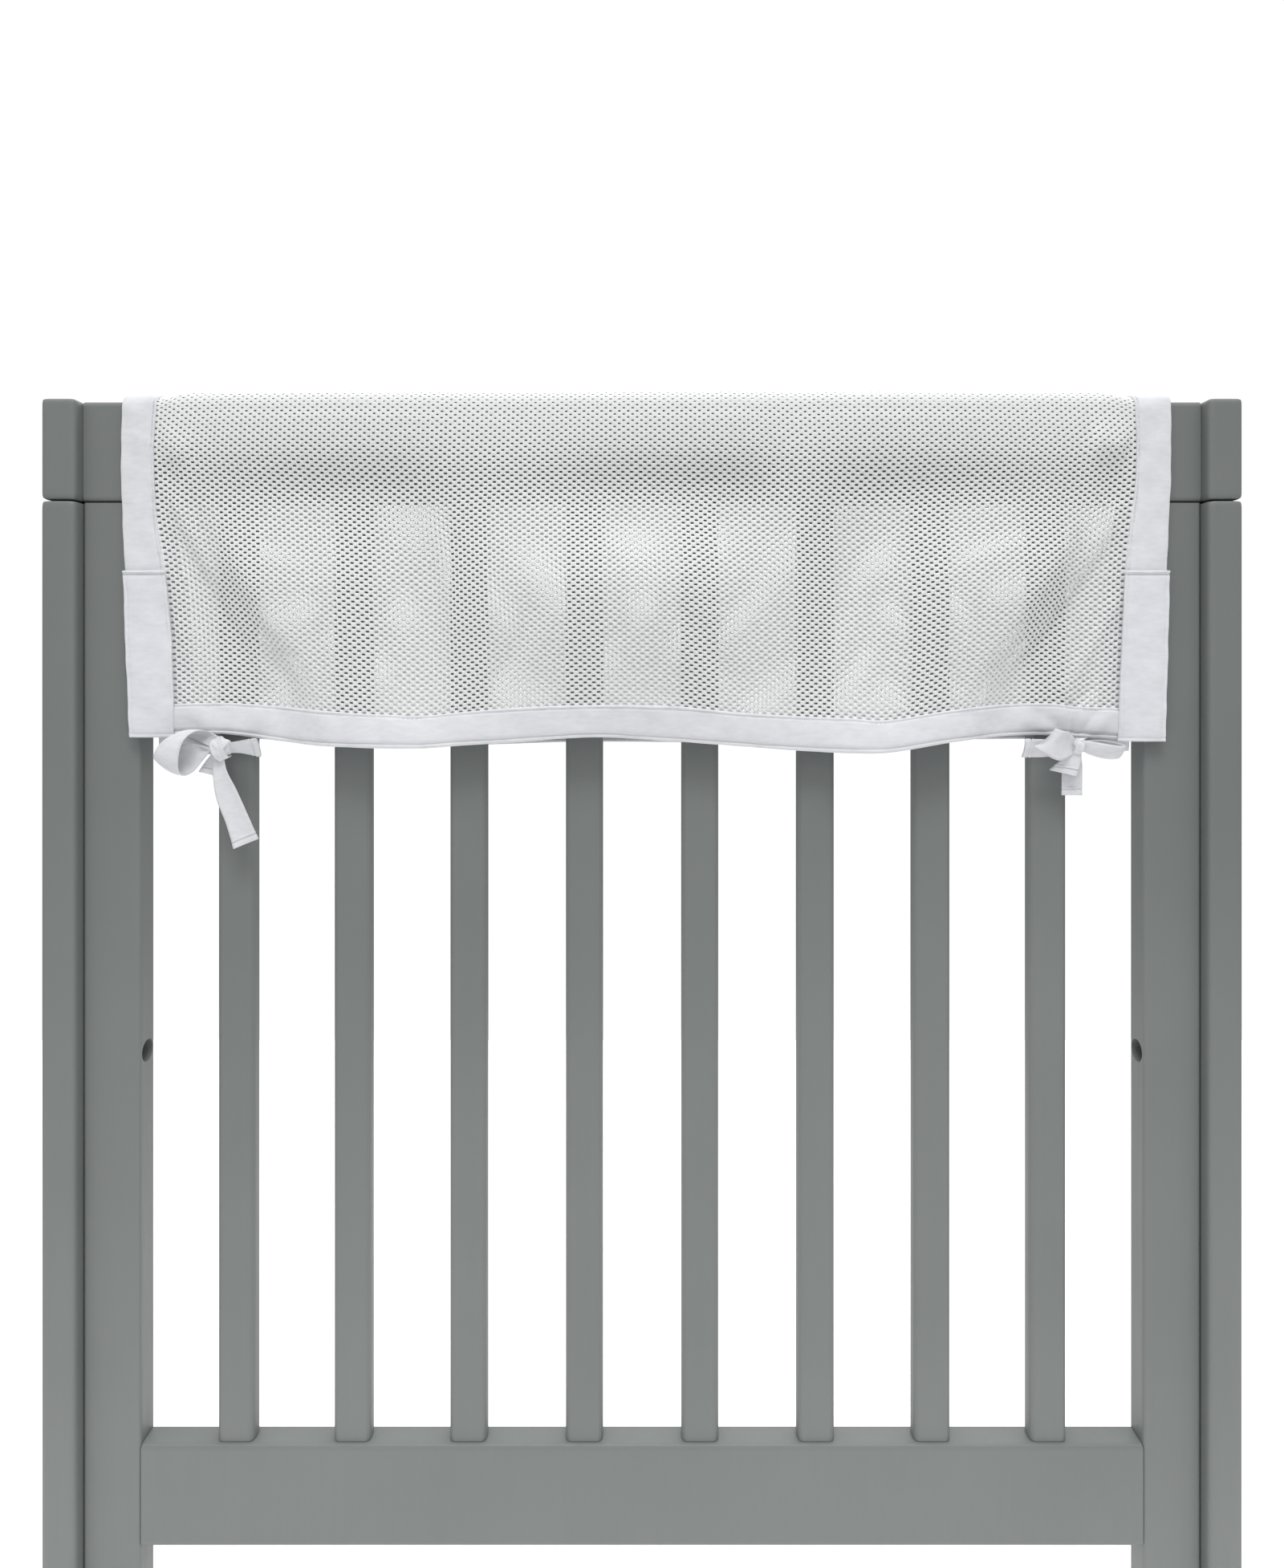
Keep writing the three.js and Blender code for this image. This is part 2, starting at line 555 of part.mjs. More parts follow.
// The two tapes of a corner, knotted together: the knot presses them into one solid
function buildTies(name, knot, tapes) {
  const ball = new THREE.SphereGeometry(1, KNOT_GRID.around, KNOT_GRID.down);
  ball.scale(knot.wide, knot.deep, knot.tall);
  ball.translate(knot.x, knot.y, PANEL_HEIGHT - knot.drop);
  let tied = solidOf(ball);
  for (const rows of Object.values(tapes)) tied = tied.add(solidOf(tapeGeometry(rows)));
  addMesh(cover, `bow_${name}`, geometryOf(tied), WHITE_CLOTH);
}

buildRails();
buildSide("left", -1);
buildSide("right", 1);
buildSlats();
buildMesh();
buildBinding("left", "leftOuter", "leftSeam");
buildBinding("right", "rightOuter", "rightSeam");
buildHem("front", FRONT_FOLDS);
buildHem("back", BACK_FOLDS);
buildTies("left", LEFT_KNOT, LEFT_TAPES);
buildTies("right", RIGHT_KNOT, RIGHT_TAPES);

const crib = new THREE.Group();
crib.add(panel, cover);
crib.updateMatrixWorld(true);
const box = new THREE.Box3().setFromObject(crib);
crib.position.y = -(box.min.y + box.max.y) / 2;

export default crib;
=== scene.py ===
"""A see-through mesh cover over the top rail of a crib's end panel, with a bow at each lower corner.

Tables are in millimetres: x from the panel's middle, y away from the viewer, "drop" down from the top
of the rail and "stand" off the wood. Meshes are made in millimetres and placed in metres, in the CAD's
frame.
"""

import math

import bpy
import numpy as np
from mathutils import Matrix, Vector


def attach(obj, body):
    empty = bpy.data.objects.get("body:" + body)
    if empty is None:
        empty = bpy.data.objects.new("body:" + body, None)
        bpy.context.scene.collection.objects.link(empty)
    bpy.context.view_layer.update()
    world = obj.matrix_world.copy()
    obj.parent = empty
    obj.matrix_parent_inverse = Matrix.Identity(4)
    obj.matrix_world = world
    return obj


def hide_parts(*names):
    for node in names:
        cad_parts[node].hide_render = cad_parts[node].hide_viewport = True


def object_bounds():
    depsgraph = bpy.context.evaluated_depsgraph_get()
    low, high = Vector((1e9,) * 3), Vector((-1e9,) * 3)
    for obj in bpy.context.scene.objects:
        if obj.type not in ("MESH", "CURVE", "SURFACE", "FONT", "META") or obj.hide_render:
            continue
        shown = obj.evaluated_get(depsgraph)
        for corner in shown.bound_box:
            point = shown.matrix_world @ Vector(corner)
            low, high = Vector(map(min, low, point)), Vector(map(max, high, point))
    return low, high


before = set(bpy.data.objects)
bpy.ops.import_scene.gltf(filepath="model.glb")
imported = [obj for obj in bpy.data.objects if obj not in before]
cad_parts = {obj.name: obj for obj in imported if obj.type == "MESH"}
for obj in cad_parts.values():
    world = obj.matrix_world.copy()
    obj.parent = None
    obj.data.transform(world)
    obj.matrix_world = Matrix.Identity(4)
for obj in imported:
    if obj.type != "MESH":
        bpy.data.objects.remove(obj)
cad_low, cad_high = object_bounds()

MM = 0.001
PANEL_HEIGHT = 890.0
POST_BACK = 50.5
OFFSET_Y = cad_high.y / MM - POST_BACK
WOOD_DEPTH = 18.0

# The cloth: thicknesses, gaps between pieces, and the space between the cloth and the wood
MESH_THICK = 2.0
BINDING_THICK = 2.4
PATCH_THICK = 1.6
TAPE_THICK = 1.2
FIT_GAP = 0.3
SEAM_GAP = 0.5
CLEAR = 2.4

# The crown, where the cloth goes over the rail: it starts CROWN_DROP below the rail's top, and its arch
# grows from ARCH_EDGE at the seams to ARCH_MIDDLE at ARCH_RUN from them
CROWN_DROP = 8.0
CROWN_POWER = 0.66
CROWN_STEPS = 400
ARCH_EDGE, ARCH_MIDDLE, ARCH_RUN = 1.0, 4.6, 18.0
FLAP_LONG = 184.0

# The sewn parts
BINDING_WIDE = 24
PATCH_WIDE = 28
PATCH_TOP = 107.0
PATCH_OVER = 0.7
HEM_WIDE = 20
HEM_LONG = 588
HEM_DROP = 200.0
BINDING_FEET = {"left": 210.8, "right": 213.3}
SEAM_IN = 1.7
STITCH_SINK = 0.3
BINDING_STITCHES = 150
HEM_STITCHES = 220

# The drops at which a flap's stand off the wood is given. The crown's edge has CROWN_SHARE of the roll,
# and ROLL_LEFT of it is left at the third drop. What a front roll has above ROLL_MEAN is made ROLL_GAIN
# times stronger. The folds grow to their full height over FLANK from their feet.
LEVELS = np.array([CROWN_DROP, 13, 31, 60, 120, HEM_DROP])
ROLL_MEAN, ROLL_GAIN, ROLL_LEFT, CROWN_SHARE = 4.0, 1.6, 0.78, 0.93
FLANK = 36.0


def table(columns, rows):
    """A table's columns by name."""
    return {name: np.array(values, float) for name, values in zip(columns.split(), zip(*rows))}


# The folds of each flap at x: the stand at the roll, at the rail's foot, half way down and at the hem,
# and the drops of the hem binding's top and lower edge
FRONT_FOLDS = table(
    "x roll rail middle hem top edge",
    [
        (-325, 0.5, 0.5, 1, 1, 190.5, 210.5),
        (-285, 3, 1.5, 8, 5, 189.2, 208.9),
        (-258, 5, 2, 12, 8, 188.8, 208.9),
        (-213, 6, 0.5, 14, 11, 191.8, 214.5),
        (-175, 6.5, 0, 11.5, 11, 194.8, 216.3),
        (-150, 6, 0, 7, 10, 196, 216.8),
        (-131, 5, 2, 2.5, 7, 196.4, 216.7),
        (-112, 4, 4, 10, 8, 194.3, 215.3),
        (-80, 3.5, 5, 18, 10, 191.6, 213.4),
        (-30, 5, 2, 23, 14, 189.6, 210),
        (20, 5.5, 0.5, 22, 12, 190.4, 212.8),
        (60, 6.5, 0, 17, 12, 194.3, 215.6),
        (95, 4, 4, 10, 8, 196.6, 218.4),
        (127, 6, 1, 3, 8, 198, 219.8),
        (150, 6.5, 0, 8, 11, 199, 219.2),
        (190, 6, 1, 16, 12, 192.8, 213),
        (220, 5, 2, 17, 10, 189.9, 210.2),
        (255, 4, 3, 15, 5, 189.1, 209.4),
        (272, 3.5, 1.5, 12, 3, 191.1, 210.6),
        (330, 0.5, 0.5, 1, 1, 192.5, 213.3),
    ],
)
BACK_FOLDS = table(
    "x roll rail middle hem top edge",
    [
        (-325, 0.5, 0.5, 1, 1, 192, 211.5),
        (-220, 4, 1.5, 9, 6, 194, 214.5),
        (-120, 3, 0.5, 3, 2, 197, 217.5),
        (-40, 4.5, 2, 12, 8, 196, 216),
        (30, 3.5, 1, 12, 9, 196, 216.5),
        (120, 4.5, 2, 4, 3, 196.5, 217),
        (215, 3.5, 1, 10, 7, 193.5, 214),
        (330, 0.5, 0.5, 1, 1, 192.5, 213),
    ],
)

# The side bindings' edges, seen from the front
SIDES = table(
    "drop left_outer left_seam right_seam right_outer",
    [
        (0, -324.3, -302, 307, 330.5),
        (30, -325, -304.5, 308.5, 330.2),
        (55, -325, -304, 307.5, 329.6),
        (75, -324, -302.5, 304.5, 328.8),
        (104, -322.5, -297.8, 301.5, 327.5),
        (146, -320.8, -294, 299.5, 326.8),
        (190, -319, -292, 297.5, 325.5),
        (215, -318.3, -291.8, 296.5, 324.8),
    ],
)

# Each side's folds, and the way it faces along y
SIGNED_FOLDS = {"front": (FRONT_FOLDS, -1), "back": (BACK_FOLDS, 1)}

# Where the folds begin, in from both sides
FOLD_FEET = table(
    "drop left right",
    [
        (0, -328, 333),
        (40, -318, 318),
        (75, -294, 302),
        (104, -280, 285),
        (142, -256, 258),
        (170, -236, 240),
        (220, -222, 226),
    ],
)

# Small creases of the front: both ends' x and drop, half width and height
CREASES = [
    (-320, 21, -303, 30, 1.6, 1.2),
    (-271, 186, -272, 208, 2.2, 0.9),
    (-236, 188, -244, 206, 2.6, 0.7),
    (268.5, 187, 268, 209, 1.8, -1.3),
    (277, 189, 270, 208, 1.8, 1.1),
    (287, 190, 273, 209, 2.2, -0.9),
    (295, 193, 277, 210, 2.2, 0.9),
    (259, 190, 266, 208, 2.2, 1.0),
    (247, 192, 263, 209, 2.4, -0.8),
    (236, 197, 259, 210, 2.6, 0.8),
    (281, 178, 272, 189, 2.6, -0.9),
    (262, 176, 267, 189, 2.8, 0.9),
    (-303, 30, -282, 34, 10.0, 2.2),
    (278, 26, 304, 31, 11.0, 3.0),
    (-297, 24, -297, 70, 6.0, -1.6),
    (296, 30, 296, 66, 8.0, -1.8),
    (300, 120, 262, 186, 4.5, 1.4),
    (-300, 50, -262, 120, 6.0, 2.2),
    (-262, 116, -226, 186, 6.0, 2.0),
    (298, 70, 236, 156, 6.0, 2.2),
    (-306, 118, -280, 184, 4.0, -0.9),
    (-60, 120, -95, 188, 7.0, -1.4),
    (25, 128, 62, 186, 7.0, -1.2),
    (148, 90, 118, 180, 7.0, 1.2),
]

# Where the front hem leans: x, half width, how far its lower edge stands off its upper one
HEM_LEANS = [(-140, 36, 5.0), (148, 38, 5.0), (6, 60, -3.5), (-245, 26, 2.0)]

# Each knot: x, y, drop, and its half width, depth and height
KNOTS = {"left": (-260.5, -18, 217.5, 6, 6, 7), "right": (268.8, -19, 216, 3.6, 4.6, 4.8)}

# The tapes of each bow. Each row: x, y, drop, the width's lean from the vertical, its tip towards the
# viewer, both in degrees, and the width
TAPES = {
    "left": {
        "front_tie": [
            (-303, -10, 214.5, 0, 0, 13),
            (-288, -10, 215.5, 0, 0, 12),
            (-275, -11.5, 216.5, 0, 0, 10),
            (-262, -17, 217.5, 0, 0, 7),
        ],
        "back_tie": [
            (-303, 10, 214.5, 0, 0, 13),
            (-293, 8.5, 215, 0, 0, 13),
            (-285, 3, 215.5, 0, 0, 12),
            (-276, -5, 216.5, 0, 0, 10),
            (-268, -12.5, 217, 0, 0, 8),
            (-261, -17, 217.5, 0, 0, 6),
        ],
        "loop": [
            (-262, -16, 216.5, 30, 0, 6),
            (-268, -15.3, 212.5, 60, 0, 10),
            (-276, -15.8, 209, 74, 5, 14.5),
            (-282, -21, 208.3, 76, 12, 17),
            (-286.5, -27, 212.5, 82, 15, 17),
            (-288.8, -29.5, 220, 92, 12, 17),
            (-289.8, -27.5, 226, 110, 10, 17.5),
            (-288, -23.5, 229, 121, 8, 17.5),
            (-283.5, -20.5, 226.5, 123, 4, 17.5),
            (-277.5, -19.3, 219.5, 121, 0, 16.5),
            (-271, -18.8, 216, 105, 0, 12),
            (-262.5, -18.5, 217, 60, 0, 8),
        ],
        "side_tail": [
            (-259, -18, 217.5, 0, 30, 7),
            (-250, -19, 216.5, 0, 35, 9),
            (-243, -20, 216.5, 0, 35, 12),
            (-236.6, -20, 216.7, 0, 35, 14),
        ],
        "short_tail": [
            (-262, -16.5, 219, 90, 0, 7),
            (-266.5, -16, 227, 100, 0, 10),
            (-269.5, -15.5, 233.5, 105, 0, 12),
        ],
        "long_tail": [
            (-261.5, -19, 220, 85, 0, 6),
            (-260.5, -20, 231, 80, 0, 8.5),
            (-256.5, -20, 245, 68, 0, 13.5),
            (-250.5, -19.5, 260, 66, 0, 14.5),
            (-244.6, -19, 276.3, 68, 0, 16.5),
        ],
    },
    "right": {
        "front_tie": [
            (305, -10, 213.5, 0, 0, 12),
            (292, -10, 215, 0, 0, 10),
            (283, -10, 216, 0, 0, 8),
            (276, -13, 216.3, 0, 0, 6.5),
            (270, -17, 216, 0, 0, 6),
        ],
        "back_tie": [
            (305, 10, 214.5, 0, 0, 13),
            (297, 8.5, 215, 0, 0, 13),
            (290, 3, 215.5, 0, 0, 12),
            (282, -5, 216, 0, 0, 9),
            (275, -12.5, 216, 0, 0, 7),
            (269, -17, 216, 0, 0, 6),
        ],
        "left_loop": [
            (267, -20, 216, 5, 0, 9),
            (258.5, -25.5, 215.5, 20, 0, 18.5),
            (251, -28, 212.8, 42, 0, 18.5),
            (246, -26, 210.2, 50, 0, 17.5),
            (250, -23.4, 212, 44, 0, 16),
            (259, -21, 215, 25, 0, 13),
            (267, -18, 216, 5, 0, 7),
        ],
        "right_loop": [
            (270, -20, 214.5, 10, 30, 6.5),
            (277, -23.5, 217, 14, 30, 9.5),
            (286, -24.5, 219, 14, 30, 10.5),
            (292.5, -23.5, 219.5, 14, 30, 10),
            (295.3, -21.5, 219, 10, 30, 9.5),
            (291, -19.8, 217.6, 10, 30, 9.5),
            (281, -19, 215.8, 8, 30, 9),
            (271, -18, 215.5, 0, 30, 6),
        ],
        "side_tail": [
            (268, -17, 217, 0, 20, 6),
            (258, -18, 217.3, 0, 28, 11),
            (247, -18.5, 217.2, 0, 28, 13),
            (236, -18.5, 217.1, 0, 28, 13),
        ],
        "short_tail": [
            (267.5, -20.5, 218, 80, 0, 7),
            (263.5, -21.5, 225.5, 98, 0, 13),
            (259, -21.5, 232.3, 103, 0, 17),
        ],
        "long_tail": [
            (268.5, -16.5, 218, 90, 0, 7),
            (267, -16.5, 230, 90, 0, 12.4),
            (266.6, -16.5, 246.5, 90, 0, 12.4),
        ],
    },
}


# The camera, the lights and the floor

LENS, SENSOR = 22.85, 36
CAMERA_SHIFT = (-0.00307, -0.0727)
CAMERA_X, CAMERA_AWAY, CAMERA_HIGH = 0.003, 0.634, 0.7212

# Each light's width and height, power and place, in metres and watts. All of them aim at AIM.
AIM = (0, 0, 0.75)
LIGHTS = {
    "key": ((1.1, 0.7), 28, (0, -1.2, 2.8)),
    "back": ((1.6, 1.2), 11, (0.4, 1.7, 2.3)),
}

# The world's light grows over WORLD_SPAN of height. To the camera it is BACKDROP bright all over.
WORLD_SPAN = (-0.2, 1)
WORLD_LIGHT = (0.12, 1.5)
BACKDROP = 1.05
FLOOR_HALF = 1.3
FLOOR_WHITE, FLOOR_GLOW = 0.9, 0.35


def make_camera():
    data = bpy.data.cameras.new("camera")
    data.lens = LENS
    data.sensor_width = SENSOR
    data.shift_x, data.shift_y = CAMERA_SHIFT
    data.clip_start = 0.02
    data.clip_end = 100
    camera = bpy.data.objects.new("camera", data)
    camera.location = (CAMERA_X, -CAMERA_AWAY + OFFSET_Y * MM, CAMERA_HIGH)
    camera.rotation_euler = (math.radians(90), 0, 0)
    bpy.context.scene.collection.objects.link(camera)
    bpy.context.scene.camera = camera


def make_light(name, size, power, place):
    data = bpy.data.lights.new(name, "AREA")
    data.shape = "RECTANGLE"
    data.size, data.size_y = size
    data.energy = power
    light = bpy.data.objects.new(name, data)
    light.location = place
    x, y, z = np.array(AIM) - np.array(place)
    light.rotation_euler = (math.atan2(math.hypot(x, y), -z), 0, math.atan2(-x, y))
    bpy.context.scene.collection.objects.link(light)


def make_world():
    """White to the camera. As light it grows with height."""
    world = bpy.data.worlds.new("studio")
    world.use_nodes = True
    nodes, links = world.node_tree.nodes, world.node_tree.links
    lit = nodes["Background"]
    lit.inputs["Color"].default_value = (1, 1, 1, 1)
    place = nodes.new("ShaderNodeTexCoord")
    split = nodes.new("ShaderNodeSeparateXYZ")
    ramp = nodes.new("ShaderNodeMapRange")
    ramp.inputs["From Min"].default_value, ramp.inputs["From Max"].default_value = WORLD_SPAN
    ramp.inputs["To Min"].default_value, ramp.inputs["To Max"].default_value = WORLD_LIGHT
    links.new(place.outputs["Generated"], split.inputs["Vector"])
    links.new(split.outputs["Z"], ramp.inputs["Value"])
    links.new(ramp.outputs["Result"], lit.inputs["Strength"])
    seen = nodes.new("ShaderNodeBackground")
    seen.inputs["Color"].default_value = (1, 1, 1, 1)
    seen.inputs["Strength"].default_value = BACKDROP
    path = nodes.new("ShaderNodeLightPath")
    both = nodes.new("ShaderNodeMixShader")
    links.new(path.outputs["Is Camera Ray"], both.inputs["Fac"])
    links.new(lit.outputs["Background"], both.inputs[1])
    links.new(seen.outputs["Background"], both.inputs[2])
    links.new(both.outputs["Shader"], nodes["World Output"].inputs["Surface"])
    bpy.context.scene.world = world


def make_floor():
    half = FLOOR_HALF
    corners = [(-half, -half, 0), (half, -half, 0), (half, half, 0), (-half, half, 0)]
    mesh = bpy.data.meshes.new("floor")
    mesh.from_pydata(corners, [], [(0, 1, 2, 3)])
    floor = bpy.data.objects.new("floor", mesh)
    bpy.context.scene.collection.objects.link(floor)
    material = bpy.data.materials.new("floor")
    material.use_nodes = True
    surface = material.node_tree.nodes["Principled BSDF"]
    surface.inputs["Base Color"].default_value = (FLOOR_WHITE, FLOOR_WHITE, FLOOR_WHITE, 1)
    surface.inputs["Emission Color"].default_value = (1, 1, 1, 1)
    surface.inputs["Emission Strength"].default_value = FLOOR_GLOW
    surface.inputs["Roughness"].default_value = 0.9
    floor.data.materials.append(material)


# The materials


class Finish:
    """A procedural material that is built node by node."""

    def __init__(self, name, roughness, sheen=0.0):
        self.material = bpy.data.materials.new(name)
        self.material.use_nodes = True
        self.nodes = self.material.node_tree.nodes
        self.links = self.material.node_tree.links
        self.surface = self.nodes["Principled BSDF"]
        self.surface.inputs["Roughness"].default_value = roughness
        self.surface.inputs["Sheen Weight"].default_value = sheen
        self.place = self.nodes.new("ShaderNodeTexCoord")

    def node(self, kind, **values):
        """A node. Each value goes to its socket of that name, or else to the node's own setting."""
        made = self.nodes.new(kind)
        for name, value in values.items():
            socket = made.inputs.get(name.replace("_", " "))
            if socket is not None:
                socket.default_value = value
            else:
                setattr(made, name, value)
        return made

    def spaced(self, scale):
        """Object coordinates, times a scale for each axis."""
        mapping = self.node("ShaderNodeMapping")
        mapping.inputs["Scale"].default_value = scale
        self.links.new(self.place.outputs["Object"], mapping.inputs["Vector"])
        return mapping.outputs["Vector"]

    def noise(self, scale, detail, stretch=(1, 1, 1)):
        made = self.node("ShaderNodeTexNoise", Scale=scale, Detail=detail)
        self.links.new(self.spaced(stretch), made.inputs["Vector"])
        return made.outputs["Fac"]

    def wave(self, scale, direction, distortion):
        made = self.node("ShaderNodeTexWave", Scale=scale, Distortion=distortion)
        made.bands_direction = direction
        self.links.new(self.place.outputs["Object"], made.inputs["Vector"])
        return made.outputs["Fac"]

    def blend(self, first, second, kind="MULTIPLY"):
        made = self.node("ShaderNodeMath", operation=kind)
        self.links.new(first, made.inputs[0])
        self.links.new(second, made.inputs[1])
        return made.outputs["Value"]

    def colours(self, factor, low, high, start=0.3, stop=0.7):
        ramp = self.node("ShaderNodeValToRGB")
        ramp.color_ramp.elements[0].position = start
        ramp.color_ramp.elements[1].position = stop
        ramp.color_ramp.elements[0].color = (*low, 1)
        ramp.color_ramp.elements[1].color = (*high, 1)
        self.links.new(factor, ramp.inputs["Fac"])
        self.links.new(ramp.outputs["Color"], self.surface.inputs["Base Color"])

    def shine(self, factor, low, high):
        spread = self.node("ShaderNodeMapRange", To_Min=low, To_Max=high)
        self.links.new(factor, spread.inputs["Value"])
        self.links.new(spread.outputs["Result"], self.surface.inputs["Roughness"])

    def bump(self, height, strength, distance):
        made = self.node("ShaderNodeBump", Strength=strength, Distance=distance)
        self.links.new(height, made.inputs["Height"])
        self.links.new(made.outputs["Normal"], self.surface.inputs["Normal"])


PAINT_LOW, PAINT_HIGH = (0.15, 0.162, 0.159), (0.171, 0.184, 0.18)
PAINT_ROUGHNESS = (0.42, 0.62)
PAINT_BUMP = (0.25, 0.0002)
GRAIN_SCALE, GRAIN_LENGTHWISE, CLOUD_SCALE, SPECK_SCALE = 260, 0.06, 5, 900

KNIT_LOW, KNIT_HIGH = (0.806, 0.813, 0.813), (0.876, 0.882, 0.882)
KNIT_THROUGH, KNIT_THROUGH_SHARE = (0.88, 0.895, 0.9, 1), 0.1
KNIT_BUMP = (0.4, 0.0002)
FLECK_SCALE, YARN_SCALE = 700, 2500

# Each woven cloth: its darkest and its lightest colour
WOVEN = {
    "woven_binding": ((0.605, 0.615, 0.638), (0.73, 0.74, 0.768)),
    "woven_patch": ((0.61, 0.615, 0.65), (0.735, 0.74, 0.775)),
    "woven_tape": ((0.59, 0.595, 0.62), (0.71, 0.715, 0.74)),
    "thread": ((0.62, 0.62, 0.68), (0.74, 0.74, 0.8)),
}
WEAVE_RAMP = (0.3, 1.1)
WEAVE_BUMP = (0.35, 0.00018)
THREAD_SCALE, THREAD_WANDER, SLUB_SCALE, SLUB_LENGTHWISE = 620, 0.6, 420, 0.35


def paint_finish():
    """Satin grey paint over wood: the grain shows faintly through it."""
    finish = Finish("grey_paint", 0.5)
    grain = finish.noise(GRAIN_SCALE, 4, (1, 1, GRAIN_LENGTHWISE))
    cloud = finish.noise(CLOUD_SCALE, 3)
    finish.colours(cloud, PAINT_LOW, PAINT_HIGH)
    finish.shine(grain, *PAINT_ROUGHNESS)
    finish.bump(finish.blend(grain, finish.noise(SPECK_SCALE, 2), "ADD"), *PAINT_BUMP)
    return finish.material


def knit_finish():
    """Matt white knitted yarn, which lets some light through."""
    finish = Finish("spacer_mesh", 0.9, 0.15)
    finish.colours(finish.noise(FLECK_SCALE, 2), KNIT_LOW, KNIT_HIGH)
    finish.bump(finish.noise(YARN_SCALE, 3), *KNIT_BUMP)
    through = finish.node("ShaderNodeBsdfTranslucent")
    through.inputs["Color"].default_value = KNIT_THROUGH
    both = finish.node("ShaderNodeMixShader")
    both.inputs["Fac"].default_value = KNIT_THROUGH_SHARE
    finish.links.new(finish.surface.outputs["BSDF"], both.inputs[1])
    finish.links.new(through.outputs["BSDF"], both.inputs[2])
    finish.links.new(both.outputs["Shader"], finish.nodes["Material Output"].inputs["Surface"])
    return finish.material


def weave_finish(name, low, high):
    """Plain-woven white cotton: two sets of threads, with slubs."""
    finish = Finish(name, 0.85, 0.2)
    warp, weft = (finish.wave(THREAD_SCALE, axis, THREAD_WANDER) for axis in "XZ")
    threads = finish.blend(warp, weft)
    slub = finish.noise(SLUB_SCALE, 3, (SLUB_LENGTHWISE, 1, 1))
    finish.colours(finish.blend(threads, slub, "ADD"), low, high, *WEAVE_RAMP)
    finish.bump(finish.blend(threads, slub, "ADD"), *WEAVE_BUMP)
    return finish.material


# Curves, and the way the cloth hangs


def mix(a, b, t):
    return a + (b - a) * t


def smooth(t):
    t = np.clip(t, 0, 1)
    return t * t * (3 - 2 * t)


def hermite(keys, values, at):
    """A smooth curve through values that stand at keys. Each value may be an array like at."""
    at = np.asarray(at, float)
    last = len(keys) - 1
    i = np.clip(np.searchsorted(keys, at, side="left") - 1, 0, last - 1)
    before, after = np.maximum(i - 1, 0), np.minimum(i + 2, last)

    def pick(k):
        return values[k] if values.ndim == 1 else np.take_along_axis(values, k[None], 0)[0]

    span = keys[i + 1] - keys[i]
    t = np.clip((at - keys[i]) / span, 0, 1)
    start = (pick(i + 1) - pick(before)) / (keys[i + 1] - keys[before]) * span
    end = (pick(after) - pick(i)) / (keys[after] - keys[i]) * span
    rise = pick(i + 1) - pick(i)
    return pick(i) + t * start + t**2 * (3 * rise - 2 * start - end) + t**3 * (start + end - 2 * rise)


def along(columns, key, column, at):
    return hermite(columns[key], columns[column], at)


def stand(folds, x, drop):
    """How far the cloth hangs off its closest place on the wood."""
    x, drop = np.broadcast_arrays(np.asarray(x, float), np.asarray(drop, float))
    roll, rail, middle, hem = (along(folds, "x", c, x) for c in ("roll", "rail", "middle", "hem"))
    if folds is FRONT_FOLDS:
        roll = np.where(roll > ROLL_MEAN, mix(ROLL_MEAN, roll, ROLL_GAIN), roll)
    outs = np.stack([CROWN_SHARE * roll, roll, mix(rail, roll, ROLL_LEFT), rail, middle, hem])
    left = along(FOLD_FEET, "drop", "left", drop)
    right = along(FOLD_FEET, "drop", "right", drop)
    inside = smooth((x - left) / FLANK) * smooth((right - x) / FLANK)
    out = np.maximum(0, hermite(LEVELS, outs, drop)) * inside
    return out + creases(x, drop) if folds is FRONT_FOLDS else out


CREASE_FADE, CREASE_START = 0.35, 0.3


def creases(x, drop):
    """The small ridges and furrows of the front, each fading out towards its ends."""
    out = np.zeros(x.shape)
    for x_a, drop_a, x_b, drop_b, half, height in CREASES:
        long = math.hypot(x_b - x_a, drop_b - drop_a)
        ahead = ((x_b - x_a) / long, (drop_b - drop_a) / long)
        share = ((x - x_a) * ahead[0] + (drop - drop_a) * ahead[1]) / long
        aside = (x - x_a) * ahead[1] - (drop - drop_a) * ahead[0]
        fade = smooth(share / CREASE_FADE + CREASE_START)
        fade = fade * smooth((1 - share) / CREASE_FADE + CREASE_START)
        out += height * np.exp(-((aside / half) ** 2)) * fade
    return out


def crown_profile():
    """Turn against the way over the rail."""
    turn = np.linspace(0, np.pi, CROWN_STEPS)
    y, z = crown_point(turn, 1.0, ARCH_MIDDLE)
    way = np.concatenate([[0], np.cumsum(np.hypot(np.diff(y), np.diff(z)))])
    return turn, way


def crown_point(turn, stack, arch):
    """The crown's y and its rise. stack is how far the cloth's middle lies off its underside."""
    base = WOOD_DEPTH / 2 + CLEAR + stack
    across = np.sign(np.cos(turn)) * np.abs(np.cos(turn)) ** CROWN_POWER
    rise = np.abs(np.sin(turn)) ** CROWN_POWER * (CROWN_DROP + CLEAR + stack + arch - ARCH_EDGE)
    return -base * across, rise


CROWN_TURN, CROWN_WAY = crown_profile()
CROWN_LONG = CROWN_WAY[-1]
SHEET_LONG = 2 * FLAP_LONG + CROWN_LONG


